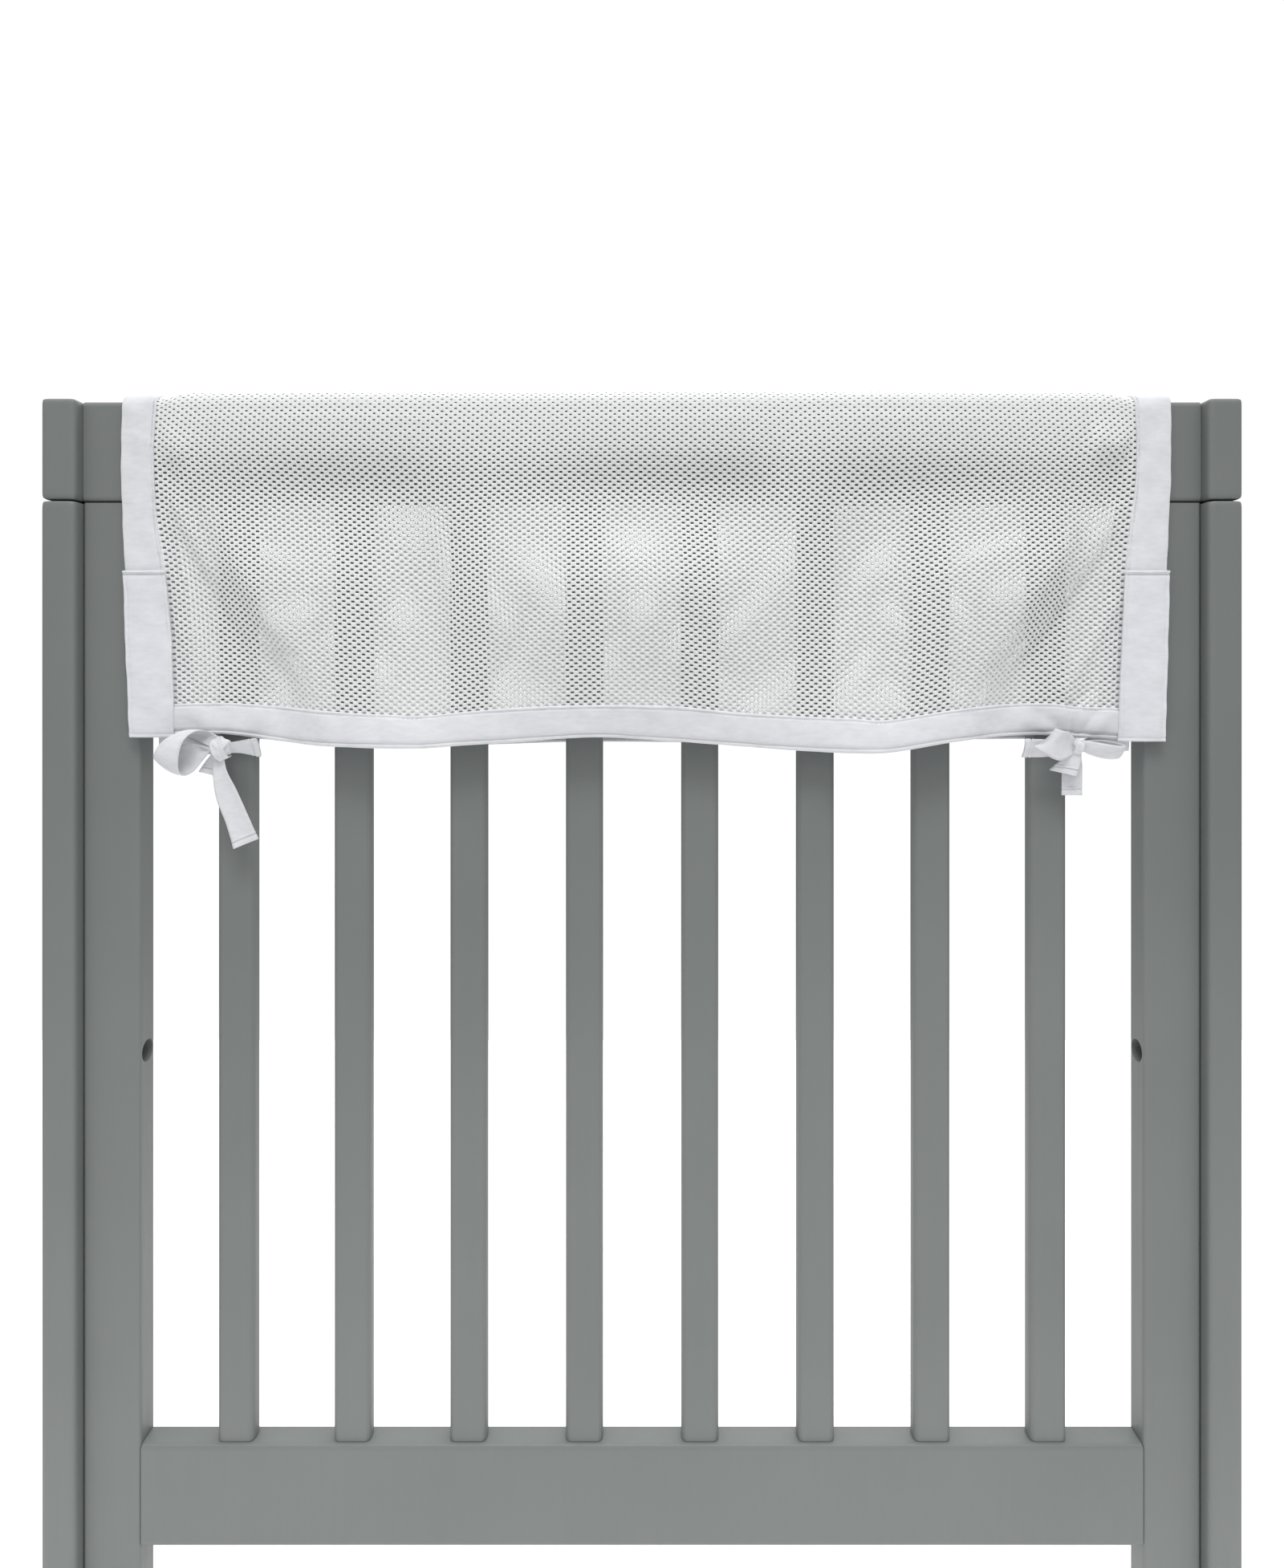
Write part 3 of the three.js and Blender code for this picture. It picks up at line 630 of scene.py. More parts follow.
def cover_points(x_at, way, feet, stack):
    """Points of the cover half way through its thickness. way runs in mm from the front's foot over the
    rail to the back's foot; x_at gives x for a drop; feet gives each flap's foot for x."""
    front, back = way <= FLAP_LONG, way >= FLAP_LONG + CROWN_LONG
    up = np.where(front, way, SHEET_LONG - way) / FLAP_LONG
    x = x_at(np.where(front | back, mix(HEM_DROP, CROWN_DROP, up), CROWN_DROP))
    foot = np.where(front, feet[0](x), feet[1](x))
    drop = np.where(front | back, mix(foot, CROWN_DROP, up), CROWN_DROP)
    base = WOOD_DEPTH / 2 + CLEAR + stack
    out_front, out_back = stand(FRONT_FOLDS, x, drop), stand(BACK_FOLDS, x, drop)
    out = np.where(front, out_front, out_back)
    turn = np.interp(way - FLAP_LONG, CROWN_WAY, CROWN_TURN)
    inward = np.minimum(x - SIDES["left_seam"][0], SIDES["right_seam"][0] - x)
    arch = mix(ARCH_EDGE, ARCH_MIDDLE, smooth(inward / ARCH_RUN))
    y_crown, rise = crown_point(turn, stack, arch)
    y = np.where(front, -(base + out), base + out)
    # the crown widens to meet the rolls on both sides of the rail
    y_crown = y_crown * (1 + np.where(y_crown < 0, out_front, out_back) / base)
    y = np.where(front | back, y, y_crown)
    z = np.where(front | back, PANEL_HEIGHT - drop, PANEL_HEIGHT - CROWN_DROP + rise)
    return np.stack([x, y, z], -1)


def put(name, points, faces, material, slot="woven_binding"):
    """A piece from points in millimetres."""
    points = (np.asarray(points, float) + (0, OFFSET_Y, 0)) * MM
    mesh = bpy.data.meshes.new(name)
    mesh.from_pydata(points.tolist(), [], [tuple(f) for f in faces])
    mesh.update()
    mesh.polygons.foreach_set("use_smooth", [True] * len(mesh.polygons))
    mesh.materials.append(material)
    piece = bpy.data.objects.new(name, mesh)
    bpy.context.scene.collection.objects.link(piece)
    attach(piece, "root")
    return piece


def direction(vectors):
    """The same vectors, one long."""
    return vectors / np.maximum(np.linalg.norm(vectors, axis=-1, keepdims=True), 1e-9)


def closed_sheet(front, back):
    """Points and faces of a sheet between two grids of points."""
    rows, columns = front.shape[:2]
    count = rows * columns
    at = np.arange(count).reshape(rows, columns)
    a, b, c, d = at[:-1, :-1], at[:-1, 1:], at[1:, 1:], at[1:, :-1]
    top = np.stack([a, b, c, d], -1).reshape(-1, 4)
    low = (np.stack([a, d, c, b], -1) + count).reshape(-1, 4)
    ring = np.concatenate([at[0, :-1], at[:-1, -1], at[-1, :0:-1], at[:0:-1, 0]])
    following = np.roll(ring, -1)
    rim = np.stack([ring, ring + count, following + count, following], -1)
    points = np.concatenate([front.reshape(-1, 3), back.reshape(-1, 3)])
    return points, np.concatenate([top, low, rim]).tolist()


# The mesh, with its holes: the lattice's cell, each side's holes, and how far a hole's rim is sunk. On
# the crown the holes are CROWN_HOLE times as large and CROWN_SINK times as deep. They grow to their full
# size over CROWN_REACH from it. Cells within a share of a cell from the sheet's edges have no hole.

CELL_WIDE = 5.5
CELL_TALL = 1.95
HOLE_WIDE = {"front": 2.45, "back": 1.5}
HOLE_TALL = {"front": 1.3, "back": 0.85}
HOLE_SINK = 0.95
CROWN_HOLE, CROWN_SINK, CROWN_REACH = 0.76, 0.6, 44.0
HOLE_ANGLES = np.radians([0, 52, 128, 180, 232, 308])
HOLE_ROUND = 1.12
EDGE_ACROSS, EDGE_ALONG = 0.3, 0.6
CORNER_KEYS = 1e5
TUCK = 2.5
HEM_TUCK = 1.1
DENSE_COLUMNS = 480
DENSE_ROWS = 430


def mesh_field():
    """A dense grid of the mesh's points, at even steps along the cloth both ways, and its normals."""
    way = np.linspace(0, SHEET_LONG, DENSE_ROWS)[:, None]
    share = np.linspace(0, 1, DENSE_COLUMNS)[None, :]

    def foot(folds):
        return lambda x: along(folds, "x", "top", x) + TUCK

    feet = (foot(FRONT_FOLDS), foot(BACK_FOLDS))

    def at(share):
        def x_at(drop):
            left = along(SIDES, "drop", "left_seam", drop) - TUCK
            right = along(SIDES, "drop", "right_seam", drop) + TUCK
            return mix(left, right, share)

        return cover_points(x_at, way + 0 * share, feet, MESH_THICK / 2)

    points = at(share)
    step = np.hypot(np.diff(points[..., 0]), np.diff(points[..., 1]))
    gone = np.concatenate([np.zeros((DENSE_ROWS, 1)), np.cumsum(step, 1)], 1)
    gone /= gone[:, -1:]
    even = np.stack([np.interp(share[0], row, share[0]) for row in gone])
    points = at(even)
    across = np.gradient(points, axis=1)
    down = np.gradient(points, axis=0)
    return points, direction(np.cross(across, down))


def read_field(field, u, v):
    """Bilinear reading of a dense grid at shares u across and v along."""
    rows, columns = field.shape[:2]
    x, y = np.clip(u, 0, 1) * (columns - 1), np.clip(v, 0, 1) * (rows - 1)
    i, j = np.minimum(x.astype(int), columns - 2), np.minimum(y.astype(int), rows - 2)
    s, t = (x - i)[..., None], (y - j)[..., None]
    low = mix(field[j, i], field[j, i + 1], s)
    high = mix(field[j + 1, i], field[j + 1, i + 1], s)
    return mix(low, high, t)


def used_only(points, faces):
    """The same faces on the points that they use."""
    used = np.zeros(len(points), bool)
    for face in faces:
        used[face] = True
    renumber = np.cumsum(used) - 1
    return points[used], [[int(renumber[p]) for p in face] for face in faces]


def mesh_part(side, first, stop, rows, columns, field):
    """Points and faces of the rows of cells from first to stop."""
    points, normal = field
    pitch = (1 / columns, 1 / rows)
    # the cell's corners, from the lattice's own proportions
    tip = (CELL_WIDE**2 / 4 + CELL_TALL**2) / CELL_WIDE / CELL_WIDE
    shoulder = 0.5 - tip
    half_cell = [(tip, 0), (shoulder, 1), (-shoulder, 1)]
    corners = np.array(half_cell + [(-x, -y) for x, y in half_cell])
    reach = (HOLE_WIDE[side] / 2 / CELL_WIDE, HOLE_TALL[side] / 2 / CELL_TALL * HOLE_ROUND)
    hole = np.stack([np.cos(HOLE_ANGLES) * reach[0], np.sin(HOLE_ANGLES) * reach[1]], -1)
    centres = np.array(
        [
            ((c + 0.5 * (r % 2)) * pitch[0], r * pitch[1])
            for r in range(first, stop)
            for c in range(0, columns + 1 - r % 2)
        ]
    )
    # over the rail the cloth is seen on edge, where its holes close up
    past = np.abs(centres[:, 1] - 0.5) * SHEET_LONG - CROWN_LONG / 2
    near = smooth(past / CROWN_REACH)[:, None, None]
    outer = np.clip(centres[:, None] + corners * pitch, 0, 1)
    inner = np.clip(centres[:, None] + hole * mix(CROWN_HOLE, 1, near) * pitch, 0, 1)

    # neighbouring cells share their corners
    keys = np.round(outer.reshape(-1, 2) * CORNER_KEYS).astype(np.int64)
    _, index, cell = np.unique(keys, axis=0, return_index=True, return_inverse=True)
    shared = outer.reshape(-1, 2)[index]
    cell = cell.reshape(-1, 6)
    rim = read_field(points, shared[:, 0], shared[:, 1])
    sunk = read_field(points, inner[..., 0], inner[..., 1])
    sunk_normal = read_field(normal, inner[..., 0], inner[..., 1])
    sunk = (sunk - sunk_normal * HOLE_SINK * mix(CROWN_SINK, 1, near)).reshape(-1, 3)
    hole_at = len(rim) + np.arange(len(centres) * 6).reshape(-1, 6)

    margin_u, margin_v = pitch[0] * EDGE_ACROSS, pitch[1] * EDGE_ALONG
    solid = (centres[:, 0] < margin_u) | (centres[:, 0] > 1 - margin_u)
    solid |= (centres[:, 1] < margin_v) | (centres[:, 1] > 1 - margin_v)
    quads = []
    for k in range(6):
        n = (k + 1) % 6
        quad = np.stack([cell[:, k], cell[:, n], hole_at[:, n], hole_at[:, k]], -1)
        quads.append(quad[(cell[:, k] != cell[:, n]) & ~solid])
    faces = np.concatenate(quads).tolist()
    for ring in cell[solid].tolist():
        trimmed = [p for k, p in enumerate(ring) if p != ring[k - 1]]
        if len(set(trimmed)) >= 3:
            faces.append(trimmed)
    return used_only(np.concatenate([rim, sunk]), faces)


def build_mesh(material):
    """The perforated sheet, in two parts: staggered six-sided cells, each with a six-sided hole."""
    field = mesh_field()
    wide = float(SIDES["right_seam"][0] - SIDES["left_seam"][0]) + 2 * TUCK
    columns = round(wide / CELL_WIDE)
    rows = round(SHEET_LONG / CELL_TALL)
    made = []
    for side, first, stop in (("front", 0, rows // 2), ("back", rows // 2, rows + 1)):
        points, faces = mesh_part(side, first, stop, rows, columns, field)
        made.append(put(f"mesh_{side}", points, faces, material, "spacer_mesh"))
    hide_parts("cover_mesh")
    return made


# The bindings, hems and patches


def edge_steps(long, middle_steps, near):
    """Shares across a strip of cloth, close together near both edges, where near lists distances."""
    low = np.array(near, float)
    middle = np.linspace(near[-1], long - near[-1], middle_steps + 2)[1:-1]
    return np.concatenate([low, middle, long - low[::-1]]) / long


# Soft waves of sewn cloth: radians per mm across and along, and where each starts
RIPPLES = [(0.31, 0.13, 0.0), (0.15, 0.37, 1.1), (-0.24, 0.21, 2.3), (0.11, 0.075, 0.6)]
RIPPLE = 0.2

# A sewn line is a dip of DIP_WIDE. A strip's edge is rounded, down to the root of EDGE_LEAST of its
# thickness. A strip's facing is found over SHARE_STEP.
DIP_WIDE = 0.5
EDGE_LEAST = 0.04
SHARE_STEP = 1e-3


def facing(middle, u, v):
    """The way a strip faces at shares u across and v along."""
    du = middle(np.clip(u + SHARE_STEP, 0, 1), v) - middle(np.clip(u - SHARE_STEP, 0, 1), v)
    dv = middle(u, np.clip(v + SHARE_STEP, 0, 1)) - middle(u, np.clip(v - SHARE_STEP, 0, 1))
    return direction(np.cross(du, dv))


def slab(name, material, middle, across, along_way, thickness, wide, long, dips=(), puff=(0, 0)):
    """A closed strip of cloth. middle gives points for shares across and along; dips are sewn lines:
    (side, distance from its edge, depth), sides being low, high, start and stop. puff is how far the
    face swells half way across and half way along."""
    u, v = np.meshgrid(across, along_way)
    points = middle(u, v)
    normal = facing(middle, u, v)
    gaps = {"low": u * wide, "high": (1 - u) * wide, "start": v * long, "stop": (1 - v) * long}
    half = np.full(u.shape, thickness / 2)
    for gap in gaps.values():
        near = np.clip(gap / (thickness / 2), 0, 1)
        half = np.minimum(half, thickness / 2 * np.sqrt(np.maximum(EDGE_LEAST, 1 - (1 - near) ** 2)))
    for side, distance, depth in dips:
        half = half - depth * np.exp(-(((gaps[side] - distance) / DIP_WIDE) ** 2))
    swell = puff[0] * np.sin(np.pi * u) + puff[1] * np.sin(np.pi * v)
    for per_wide, per_long, start in RIPPLES:
        swell = swell + RIPPLE * np.sin(per_wide * u * wide + per_long * v * long + start)
    front = points + normal * (half + swell)[..., None]
    back = points - normal * half[..., None]
    return put(name, *closed_sheet(front, back), material)


STITCH_LONG, STITCH_RADIUS, STITCH_SIDES = 1.7, 0.22, 5
STITCH_STEP = 0.2

# Each ring of a stitch: its place along it and its share of the radius
STITCH_RINGS = ((-0.5, 0.25), (-0.3, 1), (0.3, 1), (0.5, 0.25))


def stitches(name, material, place, normal_out, count):
    """A row of short raised stitches. place gives points for shares along the row."""
    ring = STITCH_SIDES
    shares = (np.arange(count) + 0.5) / count
    centre = place(shares)
    step = STITCH_STEP / count
    ahead = direction(place(np.clip(shares + step, 0, 1)) - place(np.clip(shares - step, 0, 1)))
    out = normal_out(shares)
    side = direction(np.cross(ahead, out))
    last = len(STITCH_RINGS) - 1
    points, faces = [], []
    for k in range(count):
        base = len(points)
        for reach, fat in STITCH_RINGS:
            for m in range(ring):
                turn = 2 * math.pi * m / ring
                place_on = ahead[k] * reach * STITCH_LONG
                outward = side[k] * math.cos(turn) + out[k] * math.sin(turn)
                points.append(centre[k] + place_on + outward * STITCH_RADIUS * fat)
        for row in range(last):
            for m in range(ring):
                n = (m + 1) % ring
                p = base + row * ring
                faces.append((p + m, p + ring + m, p + ring + n, p + n))
        faces.append(tuple(base + m for m in range(ring)))
        faces.append(tuple(base + last * ring + m for m in reversed(range(ring))))
    return put(name, np.array(points), faces, material)


# Distances from an edge at which a strip has points, and the number of points between
NEAR_EDGE = (0, 0.25, 0.6, 1.2, SEAM_IN, 2.2, 2.7, 3.3)
ACROSS_STEPS, FLAP_STEPS, CROWN_ROWS, PATCH_STEPS = 5, 60, 41, 40
HEM_STEPS_LONG, HEM_STEPS_WIDE = 196, 6

# How far each face swells, across and along
BINDING_PUFF, PATCH_PUFF, HEM_PUFF = (0.5, 0), (0.5, 0.2), (0, 0.8)

# Sewn lines: side, distance from its edge and depth
BINDING_DIPS = [("start", 2.2, 0.6), ("stop", 2.2, 0.6)]
PATCH_DIPS = [
    ("start", 0.9, -0.8),
    ("start", 2.4, 0.75),
    ("stop", 2.2, 0.5),
    ("low", 2.2, 0.4),
    ("high", 2.2, 0.4),
]
HEM_DIPS = [("start", SEAM_IN, 0.7), ("stop", 2.4, 0.9)]
SEAM_DIP = 0.7

# The seam's stitches start and end this share of the way from the feet
STITCH_START, STITCH_RUN = 0.02, 0.96


def build_binding(name, material, patch_material, thread):
    """One side's binding over its whole length, its stitches and its two patches."""
    low, high = ("left_outer", "left_seam") if name == "left" else ("right_seam", "right_outer")
    foot = BINDING_FEET[name]

    def level_foot(x):
        return np.full(np.shape(x), foot)

    def middle(u, v):
        def x_at(drop):
            return mix(along(SIDES, "drop", low, drop), along(SIDES, "drop", high, drop), u)

        return cover_points(x_at, v * SHEET_LONG, (level_foot, level_foot), BINDING_THICK / 2)

    flap = edge_steps(FLAP_LONG, FLAP_STEPS, NEAR_EDGE) * FLAP_LONG
    crown = FLAP_LONG + np.linspace(0, CROWN_LONG, CROWN_ROWS)
    ways = np.concatenate([flap[:-1], crown[:-1], FLAP_LONG + CROWN_LONG + flap])
    seam = "high" if name == "left" else "low"
    piece = slab(
        f"binding_{name}",
        material,
        middle,
        edge_steps(BINDING_WIDE, ACROSS_STEPS, NEAR_EDGE),
        ways / SHEET_LONG,
        BINDING_THICK,
        BINDING_WIDE,
        SHEET_LONG,
        dips=[(seam, SEAM_IN, SEAM_DIP)] + BINDING_DIPS,
        puff=BINDING_PUFF,
    )
    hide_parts(f"side_binding_{name}")
    share = 1 - SEAM_IN / BINDING_WIDE if seam == "high" else SEAM_IN / BINDING_WIDE

    def seam_out(s):
        return facing(middle, np.full(s.shape, share), STITCH_START + STITCH_RUN * s)

    def seam_line(s):
        point = middle(np.full(s.shape, share), STITCH_START + STITCH_RUN * s)
        return point + seam_out(s) * (BINDING_THICK / 2 - STITCH_SINK)

    made = [piece, stitches(f"binding_stitches_{name}", thread, seam_line, seam_out, BINDING_STITCHES)]
    made.append(build_patch(name, "front", low, high, patch_material))
    made.append(build_patch(name, "back", low, high, patch_material))
    return made


def build_patch(name, face, low, high, material):
    """The folded piece over a binding's lower end, low and high being its sides."""
    folds, sign = SIGNED_FOLDS[face]
    foot = BINDING_FEET[name]
    long = foot - PATCH_TOP
    off = WOOD_DEPTH / 2 + CLEAR + (BINDING_THICK + FIT_GAP + PATCH_THICK / 2)

    def middle(u, v):
        drop = mix(PATCH_TOP, foot, v)
        left = along(SIDES, "drop", low, drop) - PATCH_OVER
        right = along(SIDES, "drop", high, drop) + PATCH_OVER
        x = mix(left, right, 1 - u if face == "front" else u)
        return np.stack([x, sign * (off + stand(folds, x, drop)), PANEL_HEIGHT - drop], -1)

    piece = slab(
        f"patch_{name}_{face}",
        material,
        middle,
        edge_steps(PATCH_WIDE, ACROSS_STEPS, NEAR_EDGE),
        edge_steps(long, PATCH_STEPS, NEAR_EDGE),
        PATCH_THICK,
        PATCH_WIDE,
        long,
        dips=PATCH_DIPS,
        puff=PATCH_PUFF,
    )
    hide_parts(f"corner_patch_{name}_{face}")
    return piece


def build_hem(face, material, thread):
    """One flap's hem binding and its stitches."""
    folds, sign = SIGNED_FOLDS[face]

    def middle(u, v):
        across = 1 - u if face == "front" else u
        left = along(SIDES, "drop", "left_seam", np.full(np.shape(u), HEM_DROP)) - HEM_TUCK
        right = along(SIDES, "drop", "right_seam", np.full(np.shape(u), HEM_DROP)) + HEM_TUCK
        x = mix(left, right, across)
        top = along(folds, "x", "top", x) + SEAM_GAP
        drop = mix(top, along(folds, "x", "edge", x), v)
        y = WOOD_DEPTH / 2 + CLEAR + BINDING_THICK / 2 + stand(folds, x, drop)
        if face == "front":
            for at, half, lean in HEM_LEANS:
                y = y + lean * v * np.exp(-(((x - at) / half) ** 2))
        return np.stack([x, sign * y, PANEL_HEIGHT - drop], -1)

    piece = slab(
        f"hem_{face}",
        material,
        middle,
        edge_steps(HEM_LONG, HEM_STEPS_LONG, NEAR_EDGE),
        edge_steps(HEM_WIDE, HEM_STEPS_WIDE, NEAR_EDGE),
        BINDING_THICK,
        HEM_LONG,
        HEM_WIDE,
        dips=HEM_DIPS,
        puff=HEM_PUFF,
    )
    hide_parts(f"hem_binding_{face}")

    def seam_line(s):
        point = middle(s, np.full(s.shape, SEAM_IN / HEM_WIDE))
        return point + (0, sign * (BINDING_THICK / 2 - STITCH_SINK), 0)

    def seam_out(s):
        return np.tile((0.0, float(sign), 0.0), (len(s), 1))

    return [piece, stitches(f"hem_stitches_{face}", thread, seam_line, seam_out, HEM_STITCHES)]


# The bows


def spline(rows, steps):
    """Places on a centripetal curve through rows: points, and the rows' other columns in between."""
    rows = np.array(rows, float)
    points = np.stack([rows[:, 0], rows[:, 1], PANEL_HEIGHT - rows[:, 2]], -1)
    whole = np.vstack([2 * points[0] - points[1], points, 2 * points[-1] - points[-2]])
    knots = np.arange(len(rows), dtype=float)
    found, places = [], []
    for i in range(1, len(whole) - 2):
        p = whole[i - 1 : i + 3]
        gaps = np.maximum(np.linalg.norm(np.diff(p, axis=0), axis=1) ** 0.5, 1e-4)
        t0, t1 = 0.0, gaps[0]
        t2, t3 = t1 + gaps[1], t1 + gaps[1] + gaps[2]
        last = i == len(whole) - 3
        shares = np.linspace(0, 1, steps + 1)[: None if last else -1]
        for share in shares:
            t = t1 + (t2 - t1) * share
            a = [
                (p[0] * (t1 - t) + p[1] * (t - t0)) / (t1 - t0),
                (p[1] * (t2 - t) + p[2] * (t - t1)) / (t2 - t1),
                (p[2] * (t3 - t) + p[3] * (t - t2)) / (t3 - t2),
            ]
            b = [
                (a[0] * (t2 - t) + a[1] * (t - t0)) / (t2 - t0),
                (a[1] * (t3 - t) + a[2] * (t - t1)) / (t3 - t1),
            ]
            found.append((b[0] * (t2 - t) + b[1] * (t - t1)) / (t2 - t1))
            places.append(i - 1 + share)
    places = np.array(places)
    others = [hermite(knots, rows[:, k], places) for k in (3, 4, 5)]
    return np.array(found), others


# A tail's end is folded back over TAIL_HEM: the fold raises each face by HEM_RAISE, and a line sewn
# TAIL_SEAM in from the fold's edge sinks it by HEM_SEW
TAIL_HEM, TAIL_SEAM = 5.0, 1.3
HEM_RAISE, HEM_SEW = 0.55, 0.85
HEM_STEP, HEM_BLUR = 0.8, 0.5

# Half a tape's drawn thickness as a share of TAPE_THICK, and how its edges are rounded
TAPE_HALF = 0.3
TAPE_EDGE_LEAST, TAPE_EDGE_POWER = 0.12, 8
TAPE_COLUMNS = 10
TIE_STEPS, TAIL_STEPS = 10, 28
TIE_CURL, WINDING_CURL = 0.6, 0.9

# How far a tape of CURL_AT wide bulges in its middle
CURL_AT = 14
CURLS = {
    "loop": -1.6,
    "left_loop": -1.2,
    "right_loop": -1.0,
    "long_tail": 1.2,
    "side_tail": 1.4,
    "short_tail": 1.2,
}

# Each turn of tape over a knot: its slant in degrees, its width, and its reach as a share of the knot's
WINDINGS = {
    "left": [(-28, 8.0, 1.05), (38, 6.0, 0.92)],
    "right": [(24, 5.5, 1.0), (-40, 4.5, 0.85)],
}
WINDING_TURN, WINDING_ROWS, WINDING_NARROW = 115, 9, 0.25

# A knot's furrows: the slanted ones, then the finer ones along the wound tape
KNOT_RINGS, KNOT_AROUND = 28, 40
SLANTED_DEEP, SLANTED_ROUND, SLANTED_TILT = 0.1, 3.1, 2.2
WOUND_DEEP, WOUND_TURNS, WOUND_TILT = 0.06, 3.2, 0.7


def tape_shape(rows, curl, hemmed=False, steps=TIE_STEPS):
    """Points and faces of one tape: a thin ribbon, a little curled across its width."""
    line, (lean, tip, width) = spline(rows, steps)
    lean, tip = np.radians(lean), np.radians(tip)
    across = np.stack([np.sin(lean) * np.cos(tip), -np.sin(tip), np.cos(lean) * np.cos(tip)], -1)
    ahead = np.gradient(line, axis=0)
    out = direction(np.cross(across, ahead))
    u = np.linspace(-0.5, 0.5, TAPE_COLUMNS + 1)
    bowed = curl * (0.25 - u**2) * 4
    middle = line[:, None] + across[:, None] * (u[:, None] * width[:, None, None])
    middle = middle + out[:, None] * (bowed[:, None] * (width[:, None, None] / CURL_AT))
    edge = np.sqrt(np.maximum(TAPE_EDGE_LEAST, 1 - (2 * np.abs(u)) ** TAPE_EDGE_POWER))
    half = np.tile(TAPE_THICK * TAPE_HALF * edge, (len(line), 1))
    if hemmed:
        gone = np.concatenate([[0], np.cumsum(np.linalg.norm(np.diff(line, axis=0), axis=1))])
        left = gone[-1] - gone
        fold = smooth((TAIL_HEM + HEM_STEP / 2 - left) / HEM_STEP)
        sewn = np.exp(-(((left - TAIL_HEM + TAIL_SEAM) / HEM_BLUR) ** 2))
        half = half + (HEM_RAISE * fold - HEM_SEW * sewn)[:, None]
    front = middle + out[:, None] * half[..., None]
    back = middle - out[:, None] * half[..., None]
    return closed_sheet(front, back)


def knot_shape(knot):
    """A tight knot: a ball with the furrows of the tape that is wound round it."""
    x, y, drop, wide, deep, tall = knot
    polar = np.linspace(0, np.pi, KNOT_RINGS)[:, None]
    turn = np.linspace(0, 2 * np.pi, KNOT_AROUND, endpoint=False)[None, :]
    way = polar * WOUND_TURNS + WOUND_TILT * np.sin(turn)
    slanted = SLANTED_DEEP * np.sin(SLANTED_ROUND * turn + SLANTED_TILT * np.cos(polar)) * np.sin(polar)
    radius = 1 + slanted + WOUND_DEEP * np.cos(2 * way)
    points = np.stack(
        [
            x + wide * radius * np.sin(polar) * np.cos(turn),
            y + deep * radius * np.sin(polar) * np.sin(turn),
            PANEL_HEIGHT - drop + tall * radius * np.cos(polar),
        ],
        -1,
    )
    at = np.arange(KNOT_RINGS * KNOT_AROUND).reshape(KNOT_RINGS, KNOT_AROUND)
    following = np.roll(at, -1, 1)
    faces = np.stack([at[:-1], at[1:], following[1:], following[:-1]], -1).reshape(-1, 4)
    return points.reshape(-1, 3), faces.tolist()


def winding(knot, turned, width, reach):
    """Rows of a tape that runs down over a knot's front, from behind its top to behind its foot."""
    x, y, drop, wide, deep, tall = knot
    slant = math.radians(turned)
    rows = []
    for turn in np.radians(np.linspace(-WINDING_TURN, WINDING_TURN, WINDING_ROWS)):
        up = -math.sin(turn)
        narrow = 1 - WINDING_NARROW + WINDING_NARROW * math.cos(turn) ** 2
        rows.append(
            (
                x + reach * wide * up * math.sin(slant),
                y - reach * deep * math.cos(turn),
                drop - reach * tall * up * math.cos(slant),
                90 + turned,
                0,
                width * narrow,
            )
        )
    return rows


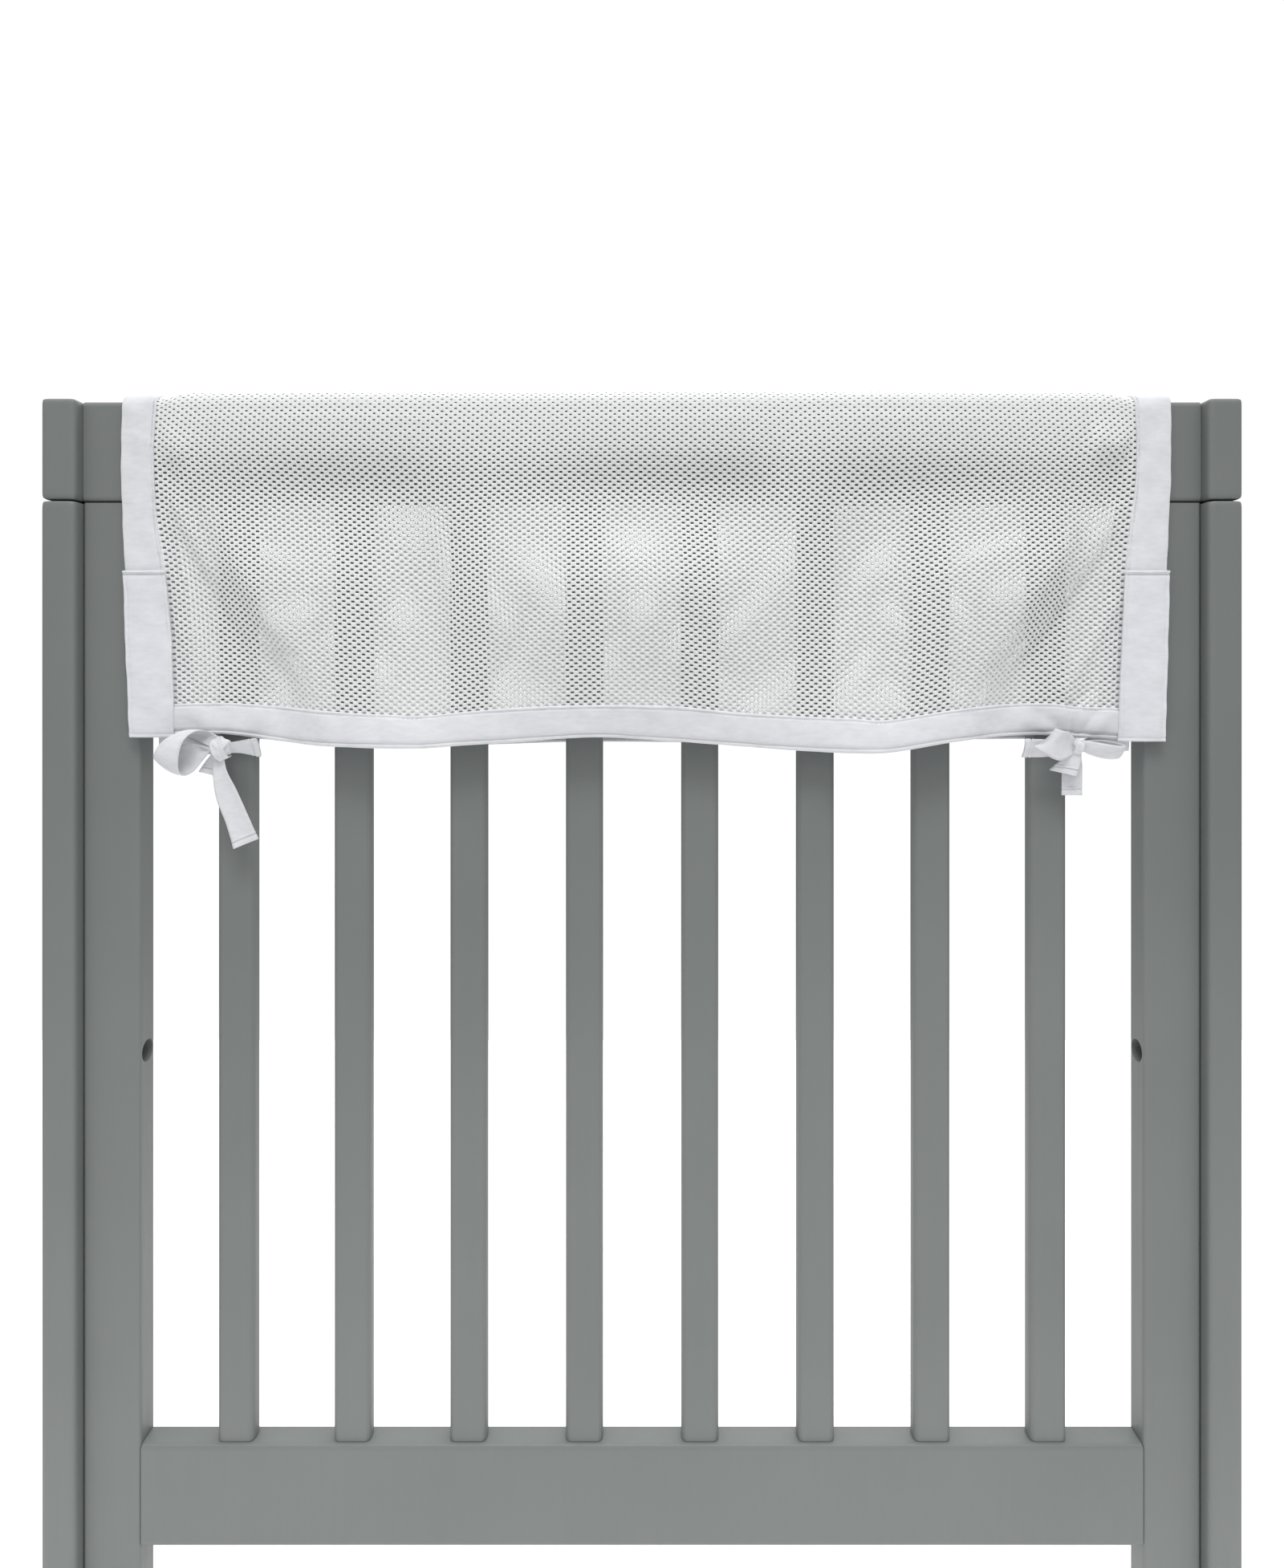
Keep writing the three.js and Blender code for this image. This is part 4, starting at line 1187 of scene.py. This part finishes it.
def build_bow(name, material):
    """The ties, loops and tails of one bow, its knot and the tape wound over it."""
    made = []
    for tape, rows in TAPES[name].items():
        tail = tape.endswith("tail")
        shape = tape_shape(rows, CURLS.get(tape, TIE_CURL), tail, TAIL_STEPS if tail else TIE_STEPS)
        made.append(put(f"tie_{name}_{tape}", *shape, material))
    knot = put(f"knot_{name}", *knot_shape(KNOTS[name]), material)
    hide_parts(f"bow_{name}")
    made.append(knot)
    for number, (turned, width, reach) in enumerate(WINDINGS[name], 1):
        shape = tape_shape(winding(KNOTS[name], turned, width, reach), WINDING_CURL)
        made.append(put(f"knot_{name}_turn_{number}", *shape, material))
    return made


# The wood keeps its CAD solids. Posts and cap blocks are evenly remeshed and then smoothed to ROUNDING,
# the other pieces have a small bevel. In metres.

POST_VOXEL, CAP_VOXEL, ROUNDING = 0.002, 0.0013, 0.0023
SMOOTH_FACTOR, SMOOTH_TURNS = 0.5, 4
BEVEL_WIDE, BEVEL_SEGMENTS, BEVEL_ANGLE = 0.0014, 3, 30
CLOTH_NODES = ("cover_", "side_", "hem_", "corner_patch_", "bow_")


def finish_wood(paint):
    for name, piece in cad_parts.items():
        if name.startswith(CLOTH_NODES):
            continue
        piece.data.materials.clear()
        piece.data.materials.append(paint)
        if name.startswith(("corner_post", "cap_block")):
            grain = POST_VOXEL if name.startswith("corner_post") else CAP_VOXEL
            even = piece.modifiers.new("even_mesh", "REMESH")
            even.mode = "VOXEL"
            even.voxel_size = grain
            even.use_smooth_shade = True
            rounded = piece.modifiers.new("rounded_edges", "SMOOTH")
            rounded.factor = SMOOTH_FACTOR
            rounded.iterations = round(SMOOTH_TURNS * (ROUNDING / grain) ** 2)
            continue
        bevel = piece.modifiers.new("soft_edges", "BEVEL")
        bevel.width = BEVEL_WIDE
        bevel.segments = BEVEL_SEGMENTS
        bevel.limit_method = "ANGLE"
        bevel.use_clamp_overlap = False
        bevel.angle_limit = math.radians(BEVEL_ANGLE)
        bevel.harden_normals = True


make_camera()
bpy.context.scene.view_settings.view_transform = "Standard"
make_world()
for name, (size, power, place) in LIGHTS.items():
    make_light(name, size, power, place)
make_floor()

paint = paint_finish()
knit = knit_finish()
woven, patch_cloth, tape_cloth, thread = (weave_finish(name, *tones) for name, tones in WOVEN.items())

finish_wood(paint)
mesh_parts = build_mesh(knit)
front_trims = build_binding("left", woven, patch_cloth, thread)
front_trims += build_binding("right", woven, patch_cloth, thread)
front_trims += build_hem("front", woven, thread)
front_trims += build_bow("left", tape_cloth) + build_bow("right", tape_cloth)
back_trims = build_hem("back", woven, thread)

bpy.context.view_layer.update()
